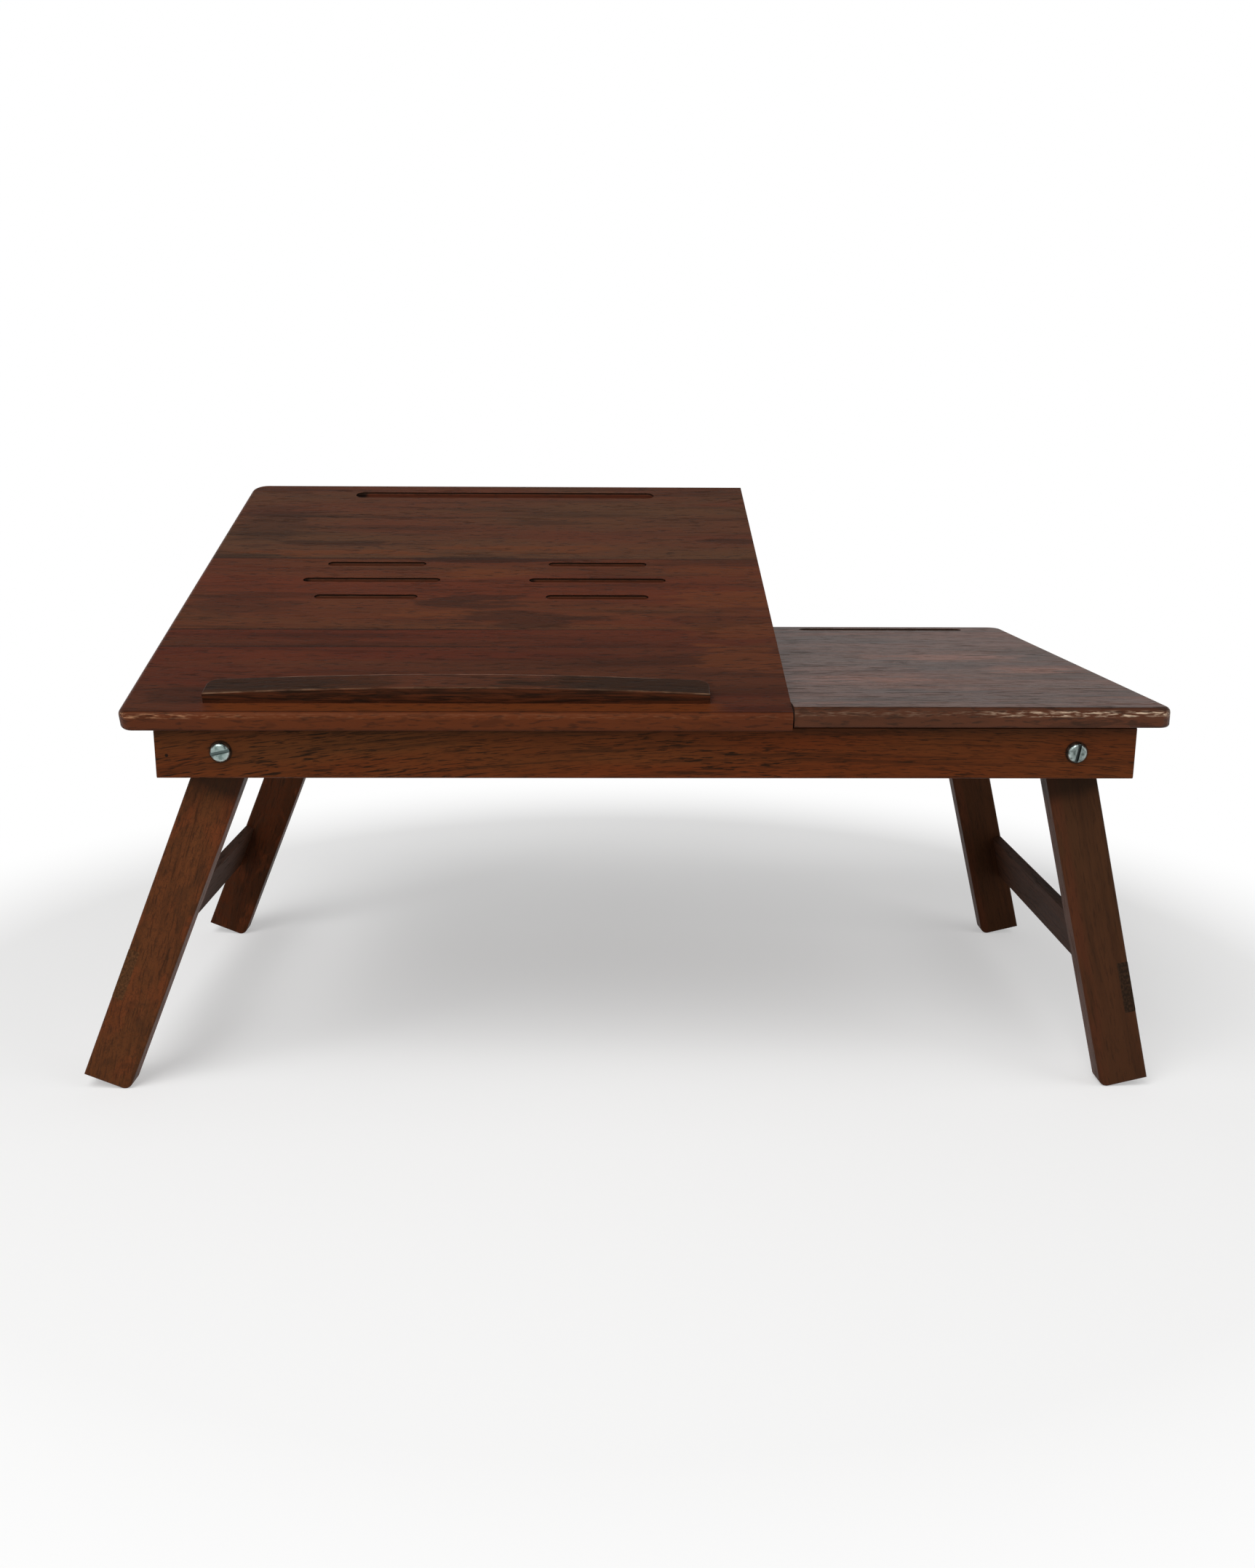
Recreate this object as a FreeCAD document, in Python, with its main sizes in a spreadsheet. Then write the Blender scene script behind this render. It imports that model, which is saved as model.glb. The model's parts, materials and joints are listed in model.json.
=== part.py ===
"""Folding laptop table: a tilting laptop board and a fixed side board on a frame with folding legs.

Millimetres, +Z up, floor at zero. X runs along the front, Y from the front to the back.
"""
import FreeCAD, Part
import math
import os
from types import SimpleNamespace

import Sketcher
from FreeCAD import Placement, Rotation, Vector

SIZES = {
    # Top
    "table_height": 250,
    "top_length": 610,
    "top_depth": 381,
    "top_thickness": 12,
    "laptop_board_width": 388.5,
    "split_gap": 1,
    "board_lift": 0.3,
    "tilt_angle": 18.2,
    "front_corner_radius": 8,
    "back_corner_radius": 12,
    "top_edge_radius": 3.5,
    "under_edge_radius": 2,
    # Grooves
    "groove_width": 7,
    "groove_depth": 1.8,
    "pen_groove_width": 12,
    "pen_groove_length": 234,
    "pen_groove_setback": 22.5,
    "pen_groove_shift": 7,
    "vent_long_length": 94,
    "vent_short_length": 69,
    "vent_pitch": 28,
    "vent_setback": 192,
    "vent_group_spacing": 155,
    "vent_shift": 3,
    "side_groove_length": 134,
    "side_groove_setback": 20,
    "side_groove_shift": 7,
    # Ledge
    "ledge_length": 294,
    "ledge_depth": 17.5,
    "ledge_height": 10.3,
    "ledge_end_height": 6.3,
    "ledge_setback": 13.5,
    "ledge_corner_radius": 6,
    "ledge_edge_radius": 0.8,
    "ledge_screw_clearance": 19.85,
    "ledge_screw_bite": 4.5,
    # Rail frame
    "front_overhang": 8,
    "back_overhang": 26,
    "end_overhang": 18,
    "rail_height": 32,
    "rail_thickness": 18,
    "rail_edge_radius": 1.5,
    "rail_bevel_width": 3,
    "rail_bevel_height": 1.8,
    "end_rail_thickness": 15,
    "bearer_thickness": 20,
    "bearer_shift": 7.5,
    "brad_radius": 1.1,
    "brad_length": 34,
    "brad_point": 2,
    "brad_spacing": 13,
    # Wood screws
    "wood_screw_radius": 1.75,
    "wood_screw_head_radius": 3.4,
    "wood_screw_head_height": 2,
    "wood_screw_point": 3,
    "wood_screw_slot_width": 1,
    "wood_screw_slot_depth": 0.9,
    "deck_screw_length": 26,
    "deck_screw_bite": 8,
    "deck_screw_spacing": 110,
    "deck_screw_shift": -25,
    # Legs
    "left_splay": 22.5,
    "right_splay": 13.8,
    "leg_width": 30,
    "leg_thickness": 16,
    "leg_edge_radius": 1.5,
    "foot_radius": 5,
    "stop_clearance": 0.3,
    "leg_side_clearance": 0.15,
    "stretcher_start": 145,
    "stretcher_width": 34,
    "stretcher_thickness": 7,
    "stretcher_edge_radius": 1,
    "stretcher_screw_length": 20,
    "stretcher_screw_spacing": 16,
    # Leg pivots
    "bolt_radius": 3,
    "bolt_hole_clearance": 0.1,
    "running_clearance": 0.06,
    "bolt_head_radius": 6,
    "bolt_head_height": 3.8,
    "bolt_head_round": 3,
    "bolt_slot_width": 1.8,
    "bolt_slot_depth": 1.6,
    "bolt_tail": 1.5,
    "left_slot_angle": 12,
    "right_slot_angle": 80,
    "washer_radius": 8,
    "washer_thickness": 1,
    "nut_across_flats": 10,
    "nut_thickness": 5,
    # Butt hinges
    "hinge_length": 45,
    "hinge_edge_distance": 47.5,
    "hinge_inset": 2,
    "hinge_leaf_width": 14,
    "hinge_leaf_thickness": 1.2,
    "hinge_knuckle_radius": 2,
    "hinge_knuckle_clearance": 0.3,
    "hinge_pin_radius": 1.1,
    "hinge_mortise_gap": 1,
    "hinge_screw_spacing": 28,
    "hinge_screw_setback": 9,
    "hinge_screw_length": 9,
    "hinge_screw_radius": 1.2,
    "hinge_screw_head_radius": 2.4,
    "hinge_screw_slot_depth": 0.4,
    # Tilt stays
    "stay_reach": 100,
    "stay_drop": 9,
    "stay_anchor_reach": 220,
    "stay_anchor_drop": 18,
    "stay_width": 13,
    "stay_thickness": 2,
    "stay_spacer": 1.5,
    "stay_spacer_radius": 6,
    "stay_slot_clearance": 0.9,
    "stay_screw_radius": 2.5,
    "stay_screw_head_radius": 5,
    "stay_screw_head_height": 3,
    "stay_screw_bite": 11,
    "stay_rivet_radius": 2,
    "stay_rivet_head_radius": 3.5,
    "stay_rivet_head_height": 0.9,
    "stay_side_clearance": 0.2,
    "bracket_length": 30,
    "bracket_foot_width": 16,
    "bracket_thickness": 1.5,
    "bracket_lug_margin": 5,
    "bracket_screw_spacing": 18,
    "bracket_screw_length": 9.5,
}

SAME_PLACE = 1e-4
HINGE_KNUCKLES = 3
ACROSS_CORNERS_SHARE = 1 / math.sqrt(3)
GROOVE_ROUND_SHARE = 0.85


class Size:
    """A size of the table: its number now, and the sheet formula that keeps it true."""

    def __init__(self, value, text):
        self.value = value
        self.text = text

    def __add__(self, other):
        return joined(self, "+", other, self.value + number(other))

    def __sub__(self, other):
        return joined(self, "-", other, self.value - number(other))

    def __mul__(self, factor):
        return joined(self, "*", factor, self.value * number(factor))

    def __rmul__(self, factor):
        return self * factor

    def __truediv__(self, divisor):
        return joined(self, "/", divisor, self.value / number(divisor))

    def __neg__(self):
        return self * -1


def number(size):
    return size.value if isinstance(size, Size) else size


def formula(size):
    return size.text if isinstance(size, Size) else repr(size)


def joined(left, sign, right, value):
    return Size(value, f"({formula(left)} {sign} {formula(right)})")


def sine(angle):
    return Size(math.sin(math.radians(angle.value)), f"sin({angle.text})")


def cosine(angle):
    return Size(math.cos(math.radians(angle.value)), f"cos({angle.text})")


def square_root(size):
    return Size(math.sqrt(size.value), f"sqrt({size.text})")


def slope_angle(rise, run):
    return Size(math.degrees(math.atan(rise.value / run.value)), f"atan({rise.text} / {run.text}) / 1deg")


doc = FreeCAD.newDocument("folding_laptop_table")
sheet = doc.addObject("Spreadsheet::Sheet", "Sizes")
for row, (alias, amount) in enumerate(SIZES.items(), start=1):
    sheet.set(f"A{row}", alias)
    sheet.set(f"B{row}", str(amount))
    sheet.setAlias(f"B{row}", alias)
doc.recompute()
size = SimpleNamespace(**{alias: Size(float(amount), f"Sizes.{alias}") for alias, amount in SIZES.items()})


# Tools for bound shapes

def bind(piece, path, amount):
    """Tie a property to the sheet; a plain zero keeps its default."""
    if isinstance(amount, Size):
        piece.setExpression(path, amount.text)


def put(piece, x=0, y=0, z=0, axis=None, angle=0):
    """Place a piece at bound coordinates, turned about an axis by a bound or plain angle."""
    if axis:
        piece.Placement = Placement(Vector(), Rotation(Vector(*axis), number(angle)))
        bind(piece, "Placement.Rotation.Angle", angle)
    for letter, amount in zip("xyz", (x, y, z)):
        bind(piece, f"Placement.Base.{letter}", amount)
    return piece


def new_body(label):
    body = doc.addObject("PartDesign::Body", label)
    body.Label = label
    return body


def sketch_on(body, role, height=0):
    """A sketch on one of the body's own planes, or at a bound height above it."""
    sketch = body.newObject("Sketcher::SketchObject", f"{body.Label}_sketch")
    plane = next(item for item in body.Origin.OriginFeatures if item.Role == role)
    sketch.AttachmentSupport = [(plane, "")]
    sketch.MapMode = "FlatFace"
    bind(sketch, "AttachmentOffset.Base.z", height)
    return sketch


def dimension(sketch, kind, amount, *anchors):
    index = sketch.addConstraint(Sketcher.Constraint(kind, *anchors, number(amount)))
    bind(sketch, f"Constraints[{index}]", amount)


def hold(sketch, geometry, vertex, x=None, y=None):
    """Tie a point to bound distances from the sketch origin."""
    for kind, amount, axis_line in (("DistanceX", x, -2), ("DistanceY", y, -1)):
        if isinstance(amount, Size):
            dimension(sketch, kind, amount, -1, 1, geometry, vertex)
        elif amount == 0:
            sketch.addConstraint(Sketcher.Constraint("PointOnObject", geometry, vertex, axis_line))


def spot(x, y):
    return Vector(number(x), number(y), 0)


def outline(sketch, corners):
    """Straight lines through the corners, closed."""
    first = sketch.GeometryCount
    for start, end in zip(corners, corners[1:] + corners[:1]):
        sketch.addGeometry(Part.LineSegment(spot(*start), spot(*end)))
    for step, corner in enumerate(corners):
        following = first + (step + 1) % len(corners)
        sketch.addConstraint(Sketcher.Constraint("Coincident", first + step, 2, following, 1))
        hold(sketch, first + step, 1, *corner)


def rectangle(sketch, left, bottom, right, top):
    outline(sketch, [(left, bottom), (right, bottom), (right, top), (left, top)])


def circle(sketch, x, y, radius):
    index = sketch.addGeometry(Part.Circle(spot(x, y), Vector(0, 0, 1), radius.value))
    dimension(sketch, "Radius", radius, index)
    hold(sketch, index, 3, x, y)


def slot(sketch, left, right, y, radius):
    """A round-ended slot between two centres on a level line."""
    middle_left, middle_right = spot(left, y), spot(right, y)
    side = Vector(0, radius.value, 0)
    quarter = math.pi / 2
    left_round = Part.Circle(middle_left, Vector(0, 0, 1), radius.value)
    right_round = Part.Circle(middle_right, Vector(0, 0, 1), radius.value)
    lower = sketch.addGeometry(Part.LineSegment(middle_left - side, middle_right - side))
    end = sketch.addGeometry(Part.ArcOfCircle(right_round, -quarter, quarter))
    upper = sketch.addGeometry(Part.LineSegment(middle_right + side, middle_left + side))
    start = sketch.addGeometry(Part.ArcOfCircle(left_round, quarter, 3 * quarter))
    for before, after in ((lower, end), (end, upper), (upper, start), (start, lower)):
        sketch.addConstraint(Sketcher.Constraint("Tangent", before, 2, after, 1))
    sketch.addConstraint(Sketcher.Constraint("Equal", start, end))
    sketch.addConstraint(Sketcher.Constraint("Horizontal", lower))
    dimension(sketch, "Radius", radius, end)
    hold(sketch, start, 3, left, y)
    hold(sketch, end, 3, right)


def pad(body, sketch, length, backward=False):
    feature = body.newObject("PartDesign::Pad", f"{body.Label}_pad")
    feature.Profile = sketch
    feature.Reversed = backward
    bind(feature, "Length", length)


def pocket(body, sketch, depth, backward=False):
    """Cut a sketch into the body, and make sure that the cut met the solid."""
    doc.recompute()
    before = body.Shape.Volume
    feature = body.newObject("PartDesign::Pocket", f"{body.Label}_pocket")
    feature.Profile = sketch
    feature.Reversed = backward
    bind(feature, "Length", depth)
    doc.recompute()
    if not body.Shape.Volume < before:
        raise RuntimeError(f"a cut in {body.Label} missed the solid")


def drill(body, role, places, radius, depth, height=0, backward=False):
    """Round holes of one size, from a plane of the body or a bound height above it."""
    sketch = sketch_on(body, role, height)
    for x, y in places:
        circle(sketch, x, y, radius)
    pocket(body, sketch, depth, backward)


def turn(body, profile):
    """A turned solid: a half profile of radius and height about the upright axis."""
    sketch = sketch_on(body, "XZ_Plane")
    outline(sketch, profile)
    feature = body.newObject("PartDesign::Revolution", f"{body.Label}_turned")
    feature.Profile = sketch
    feature.ReferenceAxis = (sketch, ["V_Axis"])
    doc.recompute()


def lies(edge, letter, place):
    return all(abs(getattr(vertex.Point, letter) - number(place)) < SAME_PLACE for vertex in edge.Vertexes)


def round_edges(body, radius, wanted):
    """Round the edges of the body's last feature that the test accepts."""
    doc.recompute()
    base = body.Tip
    edges = [f"Edge{index}" for index, edge in enumerate(base.Shape.Edges, start=1) if wanted(edge)]
    feature = body.newObject("PartDesign::Fillet", f"{body.Label}_round")
    feature.Base = (base, edges)
    bind(feature, "Radius", radius)
    doc.recompute()


def round_corner(body, radius, letters, places):
    """Round the one straight edge that keeps the two given coordinates."""
    round_edges(body, radius, lambda edge: all(lies(edge, letter, at) for letter, at in zip(letters, places)))


def box(name, x, y, z, length, width, height):
    block = doc.addObject("Part::Box", name)
    for path, amount in (("Length", length), ("Width", width), ("Height", height)):
        bind(block, path, amount)
    return put(block, x, y, z)


def rod(name, radius, length, x, y, z, axis=None, angle=0):
    cylinder = doc.addObject("Part::Cylinder", name)
    bind(cylinder, "Radius", radius)
    bind(cylinder, "Height", length)
    return put(cylinder, x, y, z, axis, angle)


def cone(name, low_radius, high_radius, height, x, y, z):
    frustum = doc.addObject("Part::Cone", name)
    bind(frustum, "Radius1", low_radius)
    bind(frustum, "Radius2", high_radius)
    bind(frustum, "Height", height)
    return put(frustum, x, y, z)


def fused(name, shapes):
    union = doc.addObject("Part::MultiFuse", name)
    union.Shapes = shapes
    return union


def cut(label, base, tools):
    difference = doc.addObject("Part::Cut", label)
    difference.Label = label
    difference.Base = base
    difference.Tool = fused(f"{label}_holes", tools)
    return difference


def copies(label, original, places):
    """One node of like pieces: linked copies of an original, each at its own place."""
    links = []
    for place in places:
        link = doc.addObject("App::Link", f"{label}_copy")
        link.LinkedObject = original
        links.append(put(link, **place))
    group = doc.addObject("Part::Compound", label)
    group.Label = label
    group.Links = links
    return group


# Places that several pieces share

half_length = size.top_length / 2
half_rail = half_length - size.end_overhang
rail_length = 2 * half_rail
rail_top = size.table_height - size.top_thickness
rail_bottom = rail_top - size.rail_height
pivot_height = rail_top - size.rail_height / 2

front_edge = -size.top_depth / 2
back_edge = size.top_depth / 2
front_rail_face = front_edge + size.front_overhang
front_rail_inside = front_rail_face + size.rail_thickness
back_rail_face = back_edge - size.back_overhang
back_rail_inside = back_rail_face - size.rail_thickness
frame_depth = back_rail_inside - front_rail_inside

leg_setback = size.washer_thickness + size.leg_side_clearance
near_leg_front = front_rail_inside + leg_setback
far_leg_front = back_rail_inside - leg_setback - size.leg_thickness
nut_setback = leg_setback + size.leg_thickness + size.leg_side_clearance + size.washer_thickness


def pivot_inset(splay):
    """How far a pivot stands inside its end rail, so that the splayed leg leans on the rail's lower edge."""
    reach = size.leg_width / 2 + size.stop_clearance + size.rail_height / 2 * sine(splay)
    return reach / cosine(splay)


def leg_length(splay):
    """Pivot to foot end, so that the rounded inner corner of the foot meets the floor."""
    inner = size.leg_width / 2 - size.foot_radius
    drop = pivot_height - size.foot_radius - inner * sine(splay)
    return drop / cosine(splay) + size.foot_radius


def foot_reach(splay):
    """How far the outer corner of a foot stands out from its pivot."""
    return leg_length(splay) * sine(splay) + size.leg_width / 2 * cosine(splay)


left_pivot_offset = half_rail - size.end_rail_thickness - pivot_inset(size.left_splay)
right_pivot_offset = half_rail - size.end_rail_thickness - pivot_inset(size.right_splay)
left_span = left_pivot_offset + foot_reach(size.left_splay)
right_span = right_pivot_offset + foot_reach(size.right_splay)
middle = (left_span - right_span) / 2

left_pivot = middle - left_pivot_offset
right_pivot = middle + right_pivot_offset
left_rail_end = middle - half_rail
right_rail_end = middle + half_rail
end_rail_inside = left_rail_end + size.end_rail_thickness
bearer_left = middle + size.bearer_shift - size.bearer_thickness / 2
top_left = middle - half_length
top_right = middle + half_length
split_left = top_left + size.laptop_board_width
split_right = split_left + size.split_gap
laptop_board_middle = top_left + size.laptop_board_width / 2

axis_setback = size.front_overhang + size.hinge_inset
axis_y = front_edge + axis_setback
half_lift = size.board_lift / 2
axis_z = rail_top + half_lift
board_front = -axis_setback
board_back = size.top_depth - axis_setback
board_thickness = size.top_thickness - size.board_lift
hinge_middles = {
    "left": top_left + size.hinge_edge_distance,
    "right": split_left - size.hinge_edge_distance,
}


def on_board(piece):
    """Hang a piece that is drawn from the hinge axis on the tilted board."""
    return put(piece, 0, axis_y, axis_z, (1, 0, 0), size.tilt_angle)


def on_rail(piece):
    """Set a piece that is drawn from the hinge axis on the level rail."""
    return put(piece, 0, axis_y, axis_z)


# Fasteners

def slotted(body, width, depth, height):
    """A screwdriver slot right across a head whose top is at the given height."""
    reach = size.bolt_head_radius + size.bolt_slot_width
    sketch = sketch_on(body, "XY_Plane", height)
    rectangle(sketch, -reach, -width / 2, reach, width / 2)
    pocket(body, sketch, depth)


def wood_screw(name, length):
    """A flat-headed screw, its head's top at zero and its point down."""
    body = new_body(name)
    head, shank = size.wood_screw_head_radius, size.wood_screw_radius
    seat = -size.wood_screw_head_height
    shoulder = size.wood_screw_point - length
    turn(body, [(0, 0), (head, 0), (head, seat), (shank, seat), (shank, shoulder), (0, -length)])
    slotted(body, size.wood_screw_slot_width, size.wood_screw_slot_depth, 0)
    return body


def countersunk_screw(name, length, plate):
    """A countersunk screw whose head fills a plate of the given thickness."""
    body = new_body(name)
    head, shank = size.hinge_screw_head_radius, size.hinge_screw_radius
    turn(body, [(0, 0), (head, 0), (shank, -plate), (shank, shank - length), (0, -length)])
    slotted(body, size.wood_screw_slot_width, size.hinge_screw_slot_depth, 0)
    return body


def pivot_bolts():
    shank_length = size.rail_thickness + nut_setback + size.nut_thickness + size.bolt_tail
    head, shank = size.bolt_head_radius, size.bolt_radius
    body = new_body("pivot_bolt")
    top = size.bolt_head_height
    turn(body, [(0, top), (head, top), (head, 0), (shank, 0), (shank, -shank_length), (0, -shank_length)])
    round_edges(body, size.bolt_head_round, lambda edge: lies(edge, "z", top))
    slotted(body, size.bolt_slot_width, size.bolt_slot_depth, top)
    places = []
    for x, slot_angle in ((left_pivot, size.left_slot_angle), (right_pivot, size.right_slot_angle)):
        turned = doc.addObject("App::Link", "turned_bolt")
        turned.LinkedObject = body
        put(turned, 0, 0, 0, (0, 0, 1), slot_angle)
        places.append((turned, x))
    fronts = [bolt_copy(turned, x, front_rail_face, 90) for turned, x in places]
    backs = [bolt_copy(turned, x, back_rail_face, -90) for turned, x in places]
    group = doc.addObject("Part::Compound", "pivot_bolts")
    group.Label = "pivot_bolts"
    group.Links = fronts + backs
    return group


def bolt_copy(turned, x, y, angle):
    upright = doc.addObject("Part::Compound", "upright_bolt")
    upright.Links = [turned]
    return put(upright, x, y, pivot_height, (1, 0, 0), angle)


def pivot_places(setback):
    """The four leg pivots at a distance inside the rails, facing the legs' middle."""
    return [
        dict(x=x, y=y, z=pivot_height, axis=(1, 0, 0), angle=angle)
        for x in (left_pivot, right_pivot)
        for y, angle in ((front_rail_inside + setback, -90), (back_rail_inside - setback, 90))
    ]


def ring(name, radius, bore, thickness):
    body = new_body(name)
    sketch = sketch_on(body, "XY_Plane")
    circle(sketch, 0, 0, radius)
    circle(sketch, 0, 0, bore)
    pad(body, sketch, thickness)
    return body


def pivot_washers():
    bore = size.bolt_radius + size.bolt_hole_clearance
    washer = ring("pivot_washer", size.washer_radius, bore, size.washer_thickness)
    under_nut = nut_setback - size.washer_thickness
    return copies("pivot_washers", washer, pivot_places(0) + pivot_places(under_nut))


def pivot_nuts():
    body = new_body("pivot_nut")
    flat = size.nut_across_flats / 2
    corner = size.nut_across_flats * ACROSS_CORNERS_SHARE
    sketch = sketch_on(body, "XY_Plane")
    side = corner / 2
    outline(sketch, [(0, -corner), (flat, -side), (flat, side), (0, corner), (-flat, side), (-flat, -side)])
    circle(sketch, 0, 0, size.bolt_radius)
    pad(body, sketch, size.nut_thickness)
    return copies("pivot_nuts", body, pivot_places(nut_setback))


# Rail frame

def brad_heights():
    centre = size.rail_height / 2
    return centre - size.brad_spacing / 2, centre + size.brad_spacing / 2


def brad_columns():
    """Distances of the brad rows from the left rail end: both end rails and the bearer."""
    edge = size.end_rail_thickness / 2
    return edge, half_rail + size.bearer_shift, rail_length - edge


def rail_brads():
    body = new_body("rail_brad")
    shank = size.brad_radius
    turn(body, [(0, 0), (shank, 0), (shank, size.brad_point - size.brad_length), (0, -size.brad_length)])
    places = [
        dict(x=left_rail_end + column, y=y, z=rail_bottom + height, axis=(1, 0, 0), angle=angle)
        for column in brad_columns()
        for height in brad_heights()
        for y, angle in ((front_rail_face, 90), (back_rail_face, -90))
    ]
    return copies("rail_brads", body, places)


def deck_screw_columns():
    """Places along X of the screws that hold the side board down on the rails."""
    centre = (split_right + top_right) / 2 + size.deck_screw_shift
    return centre - size.deck_screw_spacing / 2, centre + size.deck_screw_spacing / 2


def deck_screw_seat():
    """Depth of the screw heads up inside the rails."""
    return size.rail_height + size.deck_screw_bite - size.deck_screw_length


def long_rail(label, face, corners):
    """A front or back rail: its section drawn along X, with its bolt, brad and screw holes."""
    body = new_body(label)
    section = sketch_on(body, "YZ_Plane")
    outline(section, corners)
    pad(body, section, rail_length)

    def runs_along_the_bottom(edge):
        return lies(edge, "z", 0) and not (lies(edge, "x", 0) or lies(edge, "x", rail_length))

    round_edges(body, size.rail_edge_radius, runs_along_the_bottom)
    bolt_hole = size.bolt_radius + size.bolt_hole_clearance
    pivots = [(half_rail - left_pivot_offset, size.rail_height / 2)]
    pivots.append((half_rail + right_pivot_offset, size.rail_height / 2))
    drill(body, "XZ_Plane", pivots, bolt_hole, size.rail_thickness)
    brads = [(column, height) for column in brad_columns() for height in brad_heights()]
    drill(body, "XZ_Plane", brads, size.brad_radius, size.rail_thickness)
    screws = [(column - left_rail_end, size.rail_thickness / 2) for column in deck_screw_columns()]
    drill(body, "XY_Plane", screws, size.wood_screw_radius, size.rail_height, backward=True)
    head_room = deck_screw_seat()
    drill(body, "XY_Plane", screws, size.wood_screw_head_radius, head_room, backward=True)
    return put(body, left_rail_end, face, rail_bottom)


def front_rail():
    """The front rail's upper edge is bevelled for the board to swing down in front of the hinge axis."""
    thick, high = size.rail_thickness, size.rail_height
    shoulder = high - size.rail_bevel_height
    section = [(0, 0), (thick, 0), (thick, high), (size.rail_bevel_width, high), (0, shoulder)]
    body = long_rail("front_rail", front_rail_face, section)
    room = size.hinge_knuckle_radius + size.hinge_knuckle_clearance
    for middle_x in hinge_middles.values():
        left, right = hinge_mortise(middle_x)
        left, right = left - left_rail_end, right - left_rail_end
        leaf_end = size.hinge_inset + size.hinge_leaf_width + size.hinge_knuckle_clearance
        leaf = sketch_on(body, "XY_Plane", high)
        rectangle(leaf, left, size.hinge_inset, right, leaf_end)
        pocket(body, leaf, size.hinge_leaf_thickness)
        knuckle = sketch_on(body, "XY_Plane", high)
        rectangle(knuckle, left, size.hinge_inset - room, right, size.hinge_inset + room)
        pocket(body, knuckle, room)
        pilots = [
            (x - left_rail_end, size.hinge_inset + size.hinge_screw_setback)
            for x in hinge_screw_columns(middle_x)
        ]
        drill(body, "XY_Plane", pilots, size.hinge_screw_radius, size.hinge_screw_length, high)
    return body


def back_rail():
    thick, high = size.rail_thickness, size.rail_height
    return long_rail("back_rail", back_rail_inside, [(0, 0), (thick, 0), (thick, high), (0, high)])


def cross_rail(label, left, thickness, anchor_side):
    """A rail between the front and back rails, with brad holes in its ends and any stay screw hole."""
    body = new_body(label)
    plan = sketch_on(body, "XY_Plane")
    rectangle(plan, 0, 0, thickness, frame_depth)
    pad(body, plan, size.rail_height)
    brads = [(thickness / 2, height) for height in brad_heights()]
    depth = size.brad_length - size.rail_thickness
    drill(body, "XZ_Plane", brads, size.brad_radius, depth)
    drill(body, "XZ_Plane", brads, size.brad_radius, depth, -frame_depth, backward=True)
    if anchor_side:
        place = [(anchor_y - front_rail_inside, anchor_z - rail_bottom)]
        face = thickness if anchor_side == "right" else 0
        bite = size.stay_screw_bite
        drill(body, "YZ_Plane", place, size.stay_screw_radius, bite, face, anchor_side == "left")
    return put(body, left, front_rail_inside, rail_bottom)


# Boards

def plan_board(label, left, right, front, back, thickness, height, split_edge):
    """A board with rounded outer corners and edges, square at the split between the two boards."""
    body = new_body(label)
    plan = sketch_on(body, "XY_Plane", height)
    rectangle(plan, left, front, right, back)
    pad(body, plan, thickness)
    outer_edge = right if split_edge is left else left
    round_corner(body, size.front_corner_radius, "xy", (outer_edge, front))
    round_corner(body, size.back_corner_radius, "xy", (outer_edge, back))
    for radius, level in ((size.top_edge_radius, height + thickness), (size.under_edge_radius, height)):
        round_edges(body, radius, lambda edge: lies(edge, "z", level) and not lies(edge, "x", split_edge))
    return body


def groove(sketch, middle_x, y, length, width):
    half = (length - width) / 2
    slot(sketch, middle_x - half, middle_x + half, y, width / 2)


def sink_grooves(body, sketch, top):
    """Cut the drawn grooves into a board and round their bottoms, as a round-nosed cutter leaves them."""
    pocket(body, sketch, size.groove_depth)
    bed = top - size.groove_depth
    round_edges(body, size.groove_depth * GROOVE_ROUND_SHARE, lambda edge: lies(edge, "z", bed))


def laptop_board():
    body = plan_board("laptop_board", top_left, split_left, board_front, board_back,
                      board_thickness, half_lift, split_left)
    top = half_lift + board_thickness
    grooves = sketch_on(body, "XY_Plane", top)
    pen_x = laptop_board_middle + size.pen_groove_shift
    pen_y = board_back - size.pen_groove_setback
    groove(grooves, pen_x, pen_y, size.pen_groove_length, size.pen_groove_width)
    vent_y = board_front + size.vent_setback
    for side in (-1, 1):
        vent_x = laptop_board_middle + size.vent_shift + size.vent_group_spacing / 2 * side
        groove(grooves, vent_x, vent_y, size.vent_long_length, size.groove_width)
        groove(grooves, vent_x, vent_y - size.vent_pitch, size.vent_short_length, size.groove_width)
        groove(grooves, vent_x, vent_y + size.vent_pitch, size.vent_short_length, size.groove_width)
    sink_grooves(body, grooves, top)
    room = size.hinge_knuckle_radius + size.hinge_knuckle_clearance
    for middle_x in hinge_middles.values():
        left, right = hinge_mortise(middle_x)
        leaf = sketch_on(body, "XY_Plane", half_lift)
        rectangle(leaf, left, 0, right, size.hinge_leaf_width + size.hinge_knuckle_clearance)
        pocket(body, leaf, size.hinge_leaf_thickness, backward=True)
        knuckle = sketch_on(body, "XY_Plane", half_lift)
        rectangle(knuckle, left, -room, right, room)
        pocket(body, knuckle, room, backward=True)
        pilots = [(x, size.hinge_screw_setback) for x in hinge_screw_columns(middle_x)]
        drill(body, "XY_Plane", pilots, size.hinge_screw_radius, size.hinge_screw_length, half_lift, True)
    for face, inward in stay_sides.values():
        pilots = bracket_screw_places(face, inward)
        bite = size.bracket_screw_length - size.bracket_thickness
        drill(body, "XY_Plane", pilots, size.hinge_screw_radius, bite, half_lift, True)
    screws = ledge_screw_places()
    drill(body, "XY_Plane", screws, size.wood_screw_radius, board_thickness, half_lift, True)
    drill(body, "XY_Plane", screws, size.wood_screw_head_radius, size.wood_screw_head_height, half_lift, True)
    return on_board(body)


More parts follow.
